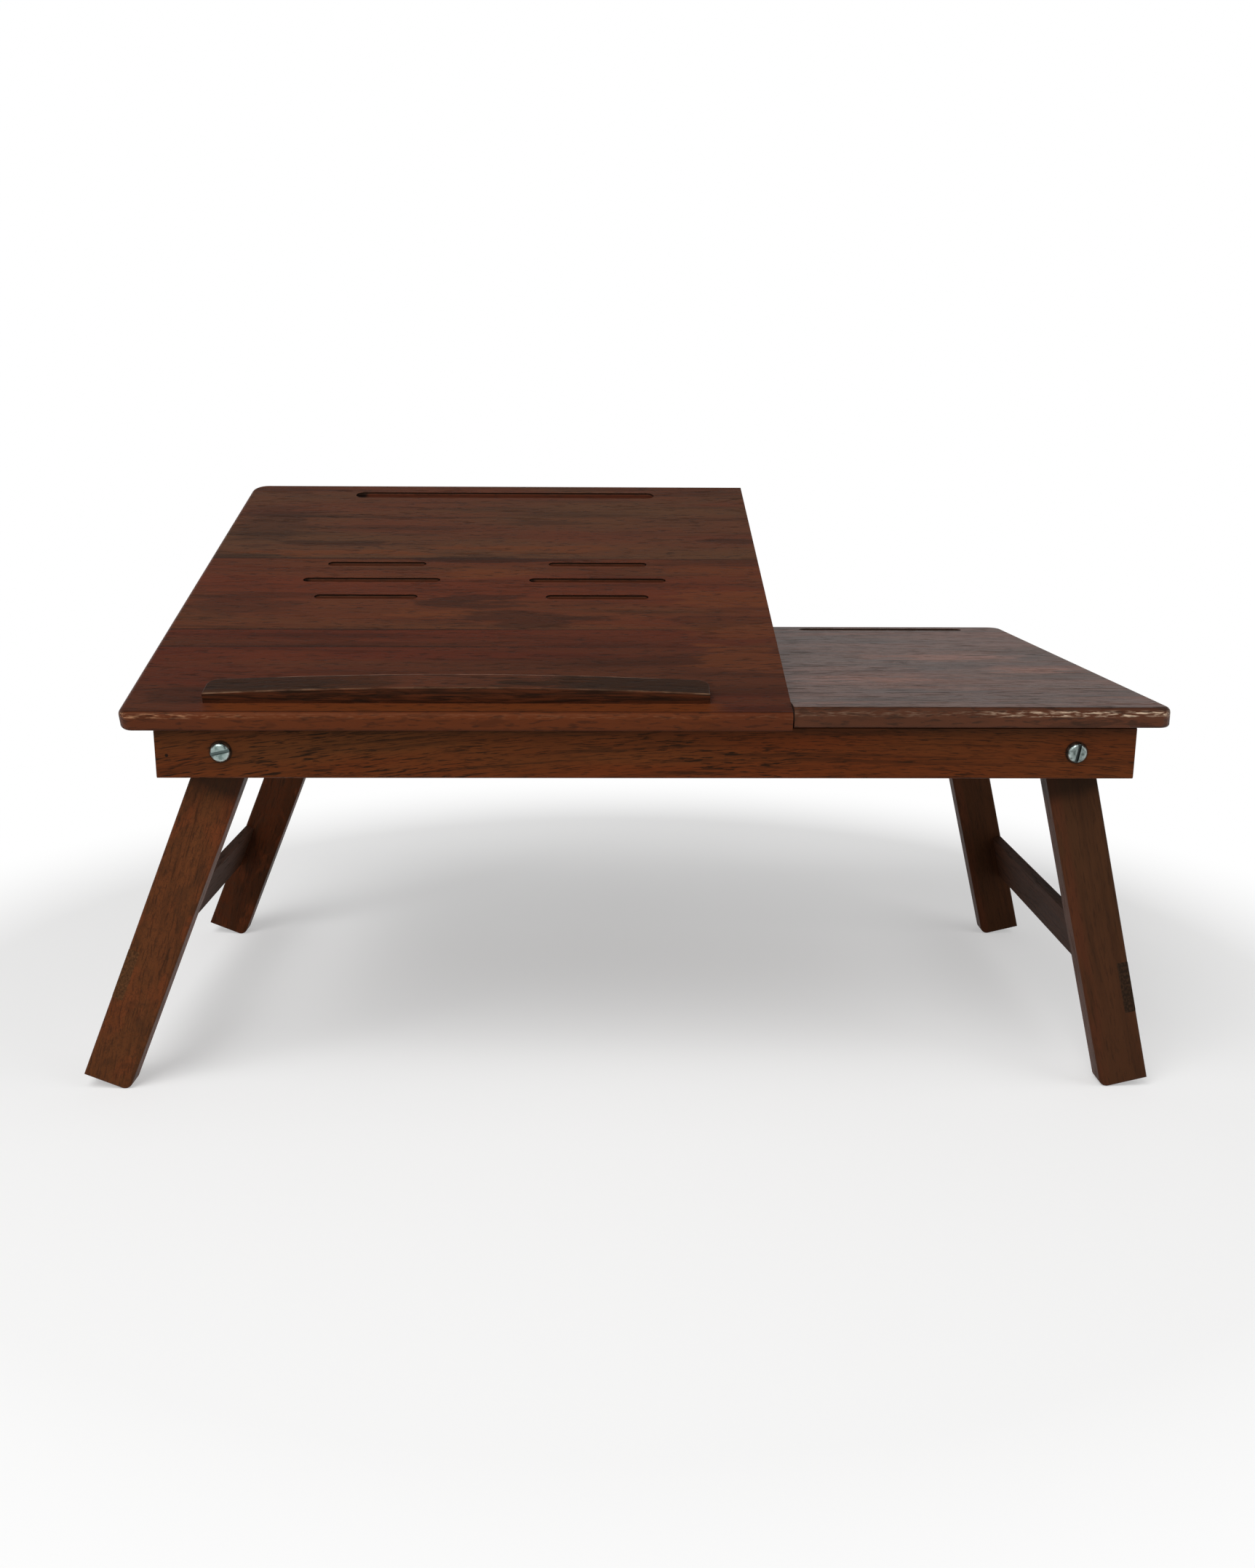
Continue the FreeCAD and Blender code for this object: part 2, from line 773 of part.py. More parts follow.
def side_board():
    body = plan_board("side_board", split_right, top_right, front_edge, back_edge,
                      size.top_thickness, rail_top, split_right)
    sketch = sketch_on(body, "XY_Plane", size.table_height)
    middle_x = (split_right + top_right) / 2 + size.side_groove_shift
    groove_y = back_edge - size.side_groove_setback
    groove(sketch, middle_x, groove_y, size.side_groove_length, size.pen_groove_width)
    sink_grooves(body, sketch, size.table_height)
    pilots = [(x, y) for x in deck_screw_columns() for y in rail_centres()]
    drill(body, "XY_Plane", pilots, size.wood_screw_radius, size.deck_screw_bite, rail_top, True)
    return body


def rail_centres():
    return front_rail_face + size.rail_thickness / 2, back_rail_face - size.rail_thickness / 2


def deck_screws():
    body = wood_screw("deck_screw", size.deck_screw_length)
    seat = rail_bottom + deck_screw_seat() - size.wood_screw_head_height
    places = [
        dict(x=x, y=y, z=seat, axis=(1, 0, 0), angle=180)
        for x in deck_screw_columns()
        for y in rail_centres()
    ]
    return copies("side_board_screws", body, places)


# Ledge

def ledge_screw_places():
    """A screw in the middle and one short of each hinge, whose mortise the screw heads keep clear of."""
    y = board_front + size.ledge_setback + size.ledge_depth / 2
    mortise_end, _ = hinge_mortise(hinge_middles["right"])
    outer = mortise_end - size.wood_screw_head_radius - size.ledge_screw_clearance
    spacing = outer - laptop_board_middle
    return [(laptop_board_middle + spacing * step, y) for step in (-1, 0, 1)]


def ledge():
    """The stop for a laptop: a bar whose top falls in one long arc towards both ends."""
    body = new_body("laptop_ledge")
    base = half_lift + board_thickness
    left = laptop_board_middle - size.ledge_length / 2
    right = laptop_board_middle + size.ledge_length / 2
    shoulder, crown = base + size.ledge_end_height, base + size.ledge_height
    rise = size.ledge_height - size.ledge_end_height
    half = size.ledge_length / 2
    arc_radius = (half * half + rise * rise) / (2 * rise)
    front = board_front + size.ledge_setback
    sketch = sketch_on(body, "XZ_Plane", -front)
    corners = [(left, shoulder), (left, base), (right, base), (right, shoulder)]
    for start, end in zip(corners, corners[1:]):
        sketch.addGeometry(Part.LineSegment(spot(*start), spot(*end)))
    crown_spot = spot(laptop_board_middle, crown)
    arc = sketch.addGeometry(Part.Arc(spot(right, shoulder), crown_spot, spot(left, shoulder)))
    for line in (0, 1):
        sketch.addConstraint(Sketcher.Constraint("Coincident", line, 2, line + 1, 1))
    sketch.addConstraint(Sketcher.Constraint("Coincident", 2, 2, arc, 1))
    sketch.addConstraint(Sketcher.Constraint("Coincident", arc, 2, 0, 1))
    for line, corner in enumerate(corners[:3]):
        hold(sketch, line, 1, *corner)
    hold(sketch, 2, 2, *corners[3])
    dimension(sketch, "Radius", arc_radius, arc)
    pad(body, sketch, size.ledge_depth, backward=True)
    back = front + size.ledge_depth
    for end in (left, right):
        round_corner(body, size.ledge_corner_radius, "xy", (end, back))

    def stands_above_the_board(edge):
        return all(vertex.Point.z > base.value + SAME_PLACE for vertex in edge.Vertexes)

    round_edges(body, size.ledge_edge_radius, stands_above_the_board)
    bite = size.ledge_screw_bite
    drill(body, "XY_Plane", ledge_screw_places(), size.wood_screw_radius, bite, base, True)
    return on_board(body)


def ledge_screws():
    body = wood_screw("ledge_screw", board_thickness + size.ledge_screw_bite)
    places = [dict(x=x, y=y, z=half_lift, axis=(1, 0, 0), angle=180) for x, y in ledge_screw_places()]
    return on_board(copies("ledge_screws", body, places))


# Legs

def leg(label, splay, pivot, outward, front):
    """A leg from its pivot down: round head, eased inner foot corner and a notch for the stretcher."""
    body = new_body(label)
    outer = size.leg_width / 2 * outward
    inner = -outer
    foot = -leg_length(splay)
    head = sketch_on(body, "XZ_Plane")
    circle(head, 0, 0, size.leg_width / 2)
    pad(body, head, size.leg_thickness, backward=True)
    doc.recompute()
    shaft = sketch_on(body, "XZ_Plane")
    outline(shaft, [(outer, 0), (inner, 0), (inner, foot), (outer, foot)])
    pad(body, shaft, size.leg_thickness, backward=True)
    round_corner(body, size.foot_radius, "xz", (inner, foot))
    thick = size.leg_thickness
    round_edges(body, size.leg_edge_radius, lambda edge: lies(edge, "y", 0) or lies(edge, "y", thick))
    bore = size.bolt_radius + size.running_clearance
    drill(body, "XZ_Plane", [(0, 0)], bore, thick)
    notch = sketch_on(body, "XZ_Plane")
    floor = outer - size.stretcher_thickness * outward
    start = -size.stretcher_start
    end = start - size.stretcher_width
    beyond = outer + size.stretcher_thickness * outward
    outline(notch, [(floor, start), (beyond, start), (beyond, end), (floor, end)])
    pocket(body, notch, thick)
    screws = [(thick / 2, z) for z in stretcher_screw_rows()]
    drill(body, "YZ_Plane", screws, size.wood_screw_radius, size.stretcher_screw_length, outer, outward < 0)
    return put(body, pivot, front, pivot_height, (0, 1, 0), -splay * outward)


def stretcher_screw_rows():
    centre = -size.stretcher_start - size.stretcher_width / 2
    return centre - size.stretcher_screw_spacing / 2, centre + size.stretcher_screw_spacing / 2


def stretcher_screw_columns():
    """Places along Y of the stretcher's screws, one column at each leg."""
    return size.leg_thickness / 2, far_leg_front - near_leg_front + size.leg_thickness / 2


def stretcher(label, splay, pivot, outward):
    """The bar let into the outer edges of two legs, its ends flush with their outer faces."""
    body = new_body(label)
    outer = size.leg_width / 2 * outward
    floor = outer - size.stretcher_thickness * outward
    start = -size.stretcher_start
    end = start - size.stretcher_width
    length = far_leg_front - near_leg_front + size.leg_thickness
    section = sketch_on(body, "XZ_Plane")
    outline(section, [(floor, start), (outer, start), (outer, end), (floor, end)])
    pad(body, section, length, backward=True)
    round_edges(body, size.stretcher_edge_radius, lambda edge: lies(edge, "x", outer))
    screws = [(y, z) for y in stretcher_screw_columns() for z in stretcher_screw_rows()]
    inward = outward < 0
    drill(body, "YZ_Plane", screws, size.wood_screw_radius, size.stretcher_thickness, outer, inward)
    drill(body, "YZ_Plane", screws, size.wood_screw_head_radius, size.wood_screw_head_height, outer, inward)
    return put(body, pivot, near_leg_front, pivot_height, (0, 1, 0), -splay * outward)


def stretcher_screws(label, splay, pivot, outward, screw):
    outer = size.leg_width / 2 * outward
    places = [
        dict(x=outer, y=y, z=z, axis=(0, 1, 0), angle=90 * outward)
        for y in stretcher_screw_columns()
        for z in stretcher_screw_rows()
    ]
    group = copies(label, screw, places)
    return put(group, pivot, near_leg_front, pivot_height, (0, 1, 0), -splay * outward)


# Butt hinges

def hinge_mortise(middle_x):
    half = size.hinge_length / 2 + size.hinge_mortise_gap
    return middle_x - half, middle_x + half


def hinge_screw_columns(middle_x):
    return middle_x - size.hinge_screw_spacing / 2, middle_x + size.hinge_screw_spacing / 2


def hinge_leaf(label, middle_x, knuckles, bore, upper):
    """A leaf and its knuckles, drawn from the hinge axis: above it on the board, below it on the rail."""
    thick = size.hinge_leaf_thickness
    left = middle_x - size.hinge_length / 2
    low = half_lift if upper else -half_lift - thick
    clear = size.hinge_knuckle_radius + size.hinge_knuckle_clearance
    depth = size.hinge_leaf_width - clear
    solids = [box(f"{label}_plate", left, clear, low, size.hinge_length, depth, thick)]
    pitch = size.hinge_length / HINGE_KNUCKLES
    length = pitch - size.hinge_knuckle_clearance
    bores = []
    for knuckle in knuckles:
        start = left + pitch * knuckle + size.hinge_knuckle_clearance / 2
        along_x = dict(x=start, y=0, z=0, axis=(0, 1, 0), angle=90)
        solids.append(box(f"{label}_tab", start, 0, low, length, clear, thick))
        solids.append(rod(f"{label}_knuckle", size.hinge_knuckle_radius, length, **along_x))
        bores.append(rod(f"{label}_bore", bore, length, **along_x))
    head, shank = size.hinge_screw_head_radius, size.hinge_screw_radius
    radii = (head, shank) if upper else (shank, head)
    for x in hinge_screw_columns(middle_x):
        bores.append(cone(f"{label}_countersink", *radii, thick, x, size.hinge_screw_setback, low))
    return cut(label, fused(f"{label}_metal", solids), bores)


def hinge_pin(label, middle_x):
    start = middle_x - size.hinge_length / 2 + size.hinge_knuckle_clearance / 2
    length = size.hinge_length - size.hinge_knuckle_clearance
    pin = rod(label, size.hinge_pin_radius, length, start, axis_y, axis_z, (0, 1, 0), 90)
    pin.Label = label
    return pin


def hinge_screws():
    screw = countersunk_screw("hinge_screw", size.hinge_screw_length, size.hinge_leaf_thickness)
    columns = [x for middle_x in hinge_middles.values() for x in hinge_screw_columns(middle_x)]
    setback = size.hinge_screw_setback
    in_rail = [dict(x=x, y=setback, z=-half_lift) for x in columns]
    in_board = [dict(x=x, y=setback, z=half_lift, axis=(1, 0, 0), angle=180) for x in columns]
    return [
        on_rail(copies("hinge_rail_screws", screw, in_rail)),
        on_board(copies("hinge_board_screws", screw, in_board)),
    ]


# Tilt stays: slotted bars that hold the board by friction

tilt_sine, tilt_cosine = sine(size.tilt_angle), cosine(size.tilt_angle)
anchor_y = axis_y + size.stay_anchor_reach
anchor_z = axis_z - size.stay_anchor_drop
stay_pivot_y = axis_y + size.stay_reach * tilt_cosine + size.stay_drop * tilt_sine
stay_pivot_z = axis_z + size.stay_reach * tilt_sine - size.stay_drop * tilt_cosine
stay_run = anchor_y - stay_pivot_y
stay_fall = stay_pivot_z - anchor_z
stay_slope = slope_angle(stay_fall, stay_run)
raised_span = square_root(stay_run * stay_run + stay_fall * stay_fall)
flat_run = size.stay_anchor_reach - size.stay_reach
flat_fall = size.stay_anchor_drop - size.stay_drop
lowered_span = square_root(flat_run * flat_run + flat_fall * flat_fall)
lug_offset = size.stay_spacer + size.stay_thickness + size.stay_side_clearance
stay_grip = 2 * size.stay_spacer + size.stay_thickness + 2 * size.stay_side_clearance
stay_sides = {"left": (end_rail_inside, 1), "right": (bearer_left, -1)}


def across(face, inward, near, far):
    """The lower X end of a stretch between two distances from a face, whichever way is inward."""
    return face + near if inward > 0 else face - far


def stay(label, face, inward):
    """A slotted bar drawn from its rivet towards its screw."""
    body = new_body(label)
    sketch = sketch_on(body, "YZ_Plane")
    tail = raised_span + size.stay_slot_clearance
    slot_start = lowered_span - size.stay_slot_clearance
    slot(sketch, 0, tail, 0, size.stay_width / 2)
    slot(sketch, slot_start, tail, 0, size.stay_screw_radius + size.stay_slot_clearance)
    circle(sketch, 0, 0, size.stay_rivet_radius + size.running_clearance)
    pad(body, sketch, size.stay_thickness)
    x = across(face, inward, size.stay_spacer, size.stay_spacer + size.stay_thickness)
    return put(body, x, stay_pivot_y, stay_pivot_z, (1, 0, 0), -stay_slope)


def bracket_screw_places(face, inward):
    x = face + (lug_offset + size.bracket_thickness + size.bracket_foot_width / 2) * inward
    half = size.bracket_screw_spacing / 2
    return [(x, size.stay_reach - half), (x, size.stay_reach + half)]


def stay_bracket(label, face, inward):
    """An angle bracket under the board, its lug beside the stay."""
    thick = size.bracket_thickness
    front = size.stay_reach - size.bracket_length / 2
    lug_bottom = -size.stay_drop - size.bracket_lug_margin
    lug_x = across(face, inward, lug_offset, lug_offset + thick)
    foot_x = across(face, inward, lug_offset, lug_offset + thick + size.bracket_foot_width)
    foot_length = thick + size.bracket_foot_width
    metal = fused(f"{label}_metal", [
        box(f"{label}_lug", lug_x, front, lug_bottom, thick, size.bracket_length, half_lift - lug_bottom),
        box(f"{label}_foot", foot_x, front, half_lift - thick, foot_length, size.bracket_length, thick),
    ])
    eye = dict(x=lug_x, y=size.stay_reach, z=-size.stay_drop, axis=(0, 1, 0), angle=90)
    holes = [rod(f"{label}_eye", size.stay_rivet_radius, thick, **eye)]
    for x, y in bracket_screw_places(face, inward):
        head, shank = size.hinge_screw_head_radius, size.hinge_screw_radius
        holes.append(cone(f"{label}_countersink", head, shank, thick, x, y, half_lift - thick))
    return on_board(cut(label, metal, holes))


def bracket_screws():
    screw = countersunk_screw("bracket_screw", size.bracket_screw_length, size.bracket_thickness)
    places = [
        dict(x=x, y=y, z=half_lift - size.bracket_thickness, axis=(1, 0, 0), angle=180)
        for face, inward in stay_sides.values()
        for x, y in bracket_screw_places(face, inward)
    ]
    return on_board(copies("stay_bracket_screws", screw, places))


def stay_rivets():
    """Rivets through the stays and the bracket lugs, a head at each end."""
    body = new_body("stay_rivet")
    head, shank, cap = size.stay_rivet_head_radius, size.stay_rivet_radius, size.stay_rivet_head_height
    grip = size.stay_thickness + 2 * size.stay_side_clearance + size.bracket_thickness
    turn(body, [
        (0, 0), (head, 0), (head, cap), (shank, cap),
        (shank, cap + grip), (head, cap + grip), (head, 2 * cap + grip), (0, 2 * cap + grip),
    ])
    outer = size.stay_spacer - size.stay_side_clearance - cap
    places = [
        dict(x=face + outer * inward, y=size.stay_reach, z=-size.stay_drop, axis=(0, 1, 0), angle=90 * inward)
        for face, inward in stay_sides.values()
    ]
    return on_board(copies("stay_rivets", body, places))


def stay_anchor_places(setback):
    return [
        dict(x=face + setback * inward, y=anchor_y, z=anchor_z, axis=(0, 1, 0), angle=90 * inward)
        for face, inward in stay_sides.values()
    ]


def stay_screws():
    """Round-headed screws on which the stays slide."""
    body = new_body("stay_screw")
    head, shank = size.stay_screw_head_radius, size.stay_screw_radius
    top = size.stay_screw_head_height
    end = -stay_grip - size.stay_screw_bite
    turn(body, [(0, top), (head, top), (head, 0), (shank, 0), (shank, end + shank), (0, end)])
    round_edges(body, top / 2, lambda edge: lies(edge, "z", top))
    slotted(body, size.wood_screw_slot_width, size.wood_screw_slot_depth, top)
    return copies("stay_screws", body, stay_anchor_places(stay_grip))


def stay_washers():
    bore = size.stay_screw_radius + size.bolt_hole_clearance
    thickness = size.stay_spacer - size.stay_side_clearance
    washer = ring("stay_washer", size.stay_spacer_radius, bore, thickness)
    under_head = stay_grip - thickness
    return copies("stay_washers", washer, stay_anchor_places(0) + stay_anchor_places(under_head))


# The whole table

def build():
    pieces = [front_rail(), back_rail()]
    pieces.append(cross_rail("left_end_rail", left_rail_end, size.end_rail_thickness, "right"))
    right_inside = right_rail_end - size.end_rail_thickness
    pieces.append(cross_rail("right_end_rail", right_inside, size.end_rail_thickness, None))
    pieces.append(cross_rail("middle_bearer", bearer_left, size.bearer_thickness, "left"))
    pieces += [rail_brads(), side_board(), deck_screws()]
    pieces += [pivot_bolts(), pivot_washers(), pivot_nuts()]
    screw = wood_screw("stretcher_screw", size.stretcher_screw_length)
    leg_sides = (("left", size.left_splay, left_pivot, -1), ("right", size.right_splay, right_pivot, 1))
    for side, splay, pivot, outward in leg_sides:
        pieces.append(leg(f"{side}_near_leg", splay, pivot, outward, near_leg_front))
        pieces.append(leg(f"{side}_far_leg", splay, pivot, outward, far_leg_front))
        pieces.append(stretcher(f"{side}_stretcher", splay, pivot, outward))
        pieces.append(stretcher_screws(f"{side}_stretcher_screws", splay, pivot, outward, screw))
    pieces += [laptop_board(), ledge(), ledge_screws()]
    lower_knuckles = range(0, HINGE_KNUCKLES, 2)
    upper_knuckles = range(1, HINGE_KNUCKLES, 2)
    tight_bore = size.hinge_pin_radius
    running_bore = tight_bore + size.running_clearance
    for side, middle_x in hinge_middles.items():
        rail_leaf = hinge_leaf(f"{side}_hinge_rail_leaf", middle_x, lower_knuckles, tight_bore, False)
        board_leaf = hinge_leaf(f"{side}_hinge_board_leaf", middle_x, upper_knuckles, running_bore, True)
        pieces += [on_rail(rail_leaf), on_board(board_leaf), hinge_pin(f"{side}_hinge_pin", middle_x)]
    pieces += hinge_screws()
    for side, (face, inward) in stay_sides.items():
        pieces.append(stay(f"{side}_stay", face, inward))
        pieces.append(stay_bracket(f"{side}_stay_bracket", face, inward))
    pieces += [bracket_screws(), stay_rivets(), stay_screws(), stay_washers()]
    return pieces


def check(pieces):
    """Stop before anything is written if an object failed or a piece is not a sound solid."""
    doc.recompute()
    failed = [item.Label for item in doc.Objects if {"Invalid", "Error"} & set(item.State)]
    unsound = [piece.Label for piece in pieces if piece.Shape.isNull() or not piece.Shape.isValid()]
    if failed or unsound:
        raise RuntimeError(f"failed: {failed}; unsound: {unsound}")


def write(pieces):
    os.makedirs("parts", exist_ok=True)
    for piece in pieces:
        piece.Shape.exportStep(f"parts/{piece.Label}.step")
        print(piece.Label, len(piece.Shape.Solids), round(piece.Shape.Volume, 1))


table = build()
check(table)
write(table)
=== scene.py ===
"""Folding laptop table: materials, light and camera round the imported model. Metres, +Z up."""
import json
import math
from collections import namedtuple
from types import SimpleNamespace

import bpy
from mathutils import Matrix, Vector


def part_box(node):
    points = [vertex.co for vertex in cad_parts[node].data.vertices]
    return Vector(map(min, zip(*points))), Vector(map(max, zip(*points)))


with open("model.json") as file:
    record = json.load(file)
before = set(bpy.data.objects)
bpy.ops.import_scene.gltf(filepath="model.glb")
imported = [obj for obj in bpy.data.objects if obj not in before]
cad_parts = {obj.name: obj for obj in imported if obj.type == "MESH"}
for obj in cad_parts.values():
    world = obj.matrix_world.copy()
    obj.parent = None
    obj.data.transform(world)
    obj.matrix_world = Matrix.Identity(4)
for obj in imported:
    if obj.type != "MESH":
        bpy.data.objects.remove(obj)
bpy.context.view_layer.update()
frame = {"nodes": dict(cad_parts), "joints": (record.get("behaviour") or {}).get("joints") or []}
nodes = frame["nodes"]
joints = {joint["name"]: joint for joint in frame["joints"]}

# A noise: its waves to the metre along X, Y and Z, detail, distortion, and its levels for none and full
Pattern = namedtuple("Pattern", "waves detail distortion levels", defaults=(0.0, None))

# A tone, and the most of it that covers what lies below
Stain = namedtuple("Stain", "tone most")


def srgb(red, green, blue):
    """A colour as it looks on screen, 0 to 255, for a shader socket."""
    def linear(level):
        share = level / 255
        return share / 12.92 if share <= 0.04045 else ((share + 0.055) / 1.055) ** 2.4
    return (linear(red), linear(green), linear(blue), 1.0)


# Where the pieces are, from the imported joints

RIGHT_ANGLE = 90


def splay(fold):
    """The lean of open legs. They fold until they lie level, so their range is this and a right angle."""
    return math.radians(joints[fold]["range_deg"][1] - RIGHT_ANGLE)


hinge_axis = Vector((0, *joints["board_tilt"]["pos_m"][1:]))
tilt = math.radians(-joints["board_tilt"]["range_deg"][0])
left_pivot = Vector(joints["left_legs_fold"]["pos_m"])
right_pivot = Vector(joints["right_legs_fold"]["pos_m"])
left_lean, right_lean = splay("left_legs_fold"), -splay("right_legs_fold")


# Places, which turn model points into a piece's own frame. X runs along the grain; on the boards, the long
# rails and the legs Z points out of the face that shows

QUARTER_TURN = math.radians(-RIGHT_ANGLE)
LEG_AXES = Matrix(((0, 0, -1, 0), (1, 0, 0, 0), (0, -1, 0, 0), (0, 0, 0, 1)))
STRETCHER_AXES = Matrix(((0, 1, 0, 0), (0, 0, -1, 0), (-1, 0, 0, 0), (0, 0, 0, 1)))


def at_pivot(axes, pivot, lean):
    """From a leg's pivot, the leg turned upright. X runs down the leg, or from the near leg to the far."""
    upright = Matrix.Rotation(-lean, 4, "Y") @ Matrix.Translation(-pivot)
    return axes @ upright


as_modelled = Matrix.Identity(4)
on_board = Matrix.Rotation(-tilt, 4, "X") @ Matrix.Translation(-hinge_axis)
along_rail = Matrix.Rotation(QUARTER_TURN, 4, "X")
across_frame = Matrix.Rotation(QUARTER_TURN, 4, "Z")
along_left = at_pivot(LEG_AXES, left_pivot, left_lean)
along_right = at_pivot(LEG_AXES, right_pivot, right_lean)


# How far pieces reach in their own frames

def extent(name, place):
    """The lowest and the highest corner of a piece in the frame of a place."""
    points = [place @ vertex.co for vertex in nodes[name].data.vertices]
    return SimpleNamespace(low=Vector(map(min, *points)), high=Vector(map(max, *points)))


def past(start, steps):
    """Places that lie so far past a start."""
    return [start + step for step in steps]


board = extent("laptop_board", on_board)
ledge = extent("laptop_ledge", on_board)
side_board = extent("side_board", as_modelled)
front_rail = extent("front_rail", along_rail)
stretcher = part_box("left_stretcher")


class Paint:
    """One material, with short names for the nodes that make it up."""

    def __init__(self, name, place):
        self.material = bpy.data.materials.new(name)
        self.material.use_nodes = True
        self.tree = self.material.node_tree
        self.shader = self.tree.nodes["Principled BSDF"]
        mapping = self.add("ShaderNodeMapping", {
            "Vector": self.add("ShaderNodeTexCoord").outputs["Object"],
            "Location": place.to_translation(),
            "Rotation": place.to_euler("XYZ"),
        })
        self.point = mapping.outputs[0]
        self.x, self.y, self.z = self.add("ShaderNodeSeparateXYZ", {0: self.point}).outputs
        self.ragged = None

    def add(self, kind, inputs=None, **settings):
        node = self.tree.nodes.new(kind)
        for key, value in settings.items():
            setattr(node, key, value)
        for key, value in (inputs or {}).items():
            self.feed(node.inputs[key], value)
        return node

    def feed(self, socket, value):
        if isinstance(value, bpy.types.NodeSocket):
            self.tree.links.new(value, socket)
        else:
            socket.default_value = value

    def set(self, **values):
        """Feed the shader's own sockets, underscores standing for spaces."""
        for key, value in values.items():
            self.feed(self.shader.inputs[key.replace("_", " ")], value)

    def joined(self, x, y, z):
        return self.add("ShaderNodeCombineXYZ", {0: x, 1: y, 2: z}).outputs[0]

    def compute(self, operation, first, second=0.0):
        return self.add("ShaderNodeMath", {0: first, 1: second}, operation=operation).outputs[0]

    def plus(self, first, second):
        return self.compute("ADD", first, second)

    def less(self, first, second):
        return self.compute("SUBTRACT", first, second)

    def times(self, first, second):
        return self.compute("MULTIPLY", first, second)

    def apart(self, first, second):
        return self.compute("ABSOLUTE", self.less(first, second))

    def distance(self, first, second):
        squares = self.plus(self.times(first, first), self.times(second, second))
        return self.compute("SQRT", squares)

    def stretched(self, vector, factors):
        return self.add("ShaderNodeVectorMath", {0: vector, 1: factors}, operation="MULTIPLY").outputs[0]

    def shifted(self, vector, offset):
        return self.add("ShaderNodeVectorMath", {0: vector, 1: offset}, operation="ADD").outputs[0]

    def noise(self, pattern, vector=None):
        """A pattern's bare noise, in the material's own frame unless another vector is given."""
        where = self.point if vector is None else vector
        inputs = {"Vector": self.stretched(where, pattern.waves), "Scale": 1.0}
        inputs.update({"Detail": pattern.detail, "Distortion": pattern.distortion})
        return self.add("ShaderNodeTexNoise", inputs).outputs[0]

    def rise(self, value, none, full):
        """Zero on one side of a pair of places, one on the other, and smooth between them."""
        falls = none > full
        inputs = {"Value": value, "From Min": min(none, full), "From Max": max(none, full)}
        inputs.update({"To Min": float(falls), "To Max": float(not falls)})
        return self.add("ShaderNodeMapRange", inputs, interpolation_type="SMOOTHSTEP").outputs[0]

    def marks(self, pattern, vector=None):
        """A pattern from none to full."""
        return self.rise(self.noise(pattern, vector), *pattern.levels)

    def ranged(self, value, low, high):
        """Zero to one turned into low to high."""
        inputs = {"Value": value, "To Min": low, "To Max": high}
        return self.add("ShaderNodeMapRange", inputs).outputs[0]

    def mixed(self, share, first, second, blend="MIX"):
        node = self.add("ShaderNodeMix", {0: share, 6: first, 7: second}, data_type="RGBA", blend_type=blend)
        return node.outputs[2]

    def coat(self, colour, mask, stain):
        """A colour with a stain over it as far as the mask goes."""
        return self.mixed(self.times(mask, stain.most), colour, stain.tone)

    def line(self, value, place, half_width):
        """A soft line, full over its middle quarter."""
        return self.rise(self.apart(value, place), half_width, half_width / 4)


NOISE_MIDDLE = 0.5


# Wood

BODY = Pattern((3.2, 21, 21), 4, 0.7, levels=(0.36, 0.64))
STREAKS = Pattern((2.4, 52, 52), 5, 1.1, levels=(0.53, 0.72))
CLUSTERS = Pattern((9, 34, 34), 2, levels=(0.38, 0.62))
CLOUDS = Pattern((16, 46, 46), 3, 0.5)
SWAY = Pattern((15, 32, 32), 2)
RAGGED = Pattern((26, 120, 120), 4)
RIPPLE = Pattern((150, 520, 520), 2, 0.6)

# These three are multiplied by a wood's own measures of the grain
LINES = Pattern((8, 0.45, 0.45), 4, 0.3, levels=(0.48, 0.68))
STROKES = Pattern((1, 1, 1), 3, 0.4, levels=(0.55, 0.64))
PITS = Pattern((110, 2.2, 2.2), 2, 0.2, levels=(0.55, 0.68))

SEED_STEP = (1.37, 0.71, 0.43)
PLANK_STEP, PLANK_BLEND = (0.43, 0.21, 0.17), 0.0002
LINE_SHARE = 0.9
CLUSTER_SHARES = (0.3, 1.0)
CLOUD_ROUGHNESS, STROKE_ROUGHNESS = 0.06, 0.12
RELIEF = SimpleNamespace(ripple=0.7, lines=0.5, pits=0.4, strokes=0.6, depth=0.0006)
LACQUER_TINT = (1.0, 0.62, 0.42, 1.0)

# The grain's slope and curve, its sway, the seams between planks, the strokes to the metre across and along
# the grain, and how much there is of the rest
PLAIN = {
    "bow": (0.0, 0.0), "wavy": 0.003, "seams": (), "fine": 520, "dash": 46,
    "figure": 0.6, "strokes": 0.5, "pores": 0.5, "mottle": 0.2, "rough": 0.46, "bump": 0.35, "gloss": 0.11,
}


def scaled(pattern, along, across):
    x, y, z = pattern.waves
    return pattern._replace(waves=(x * along, y * across, z * across))


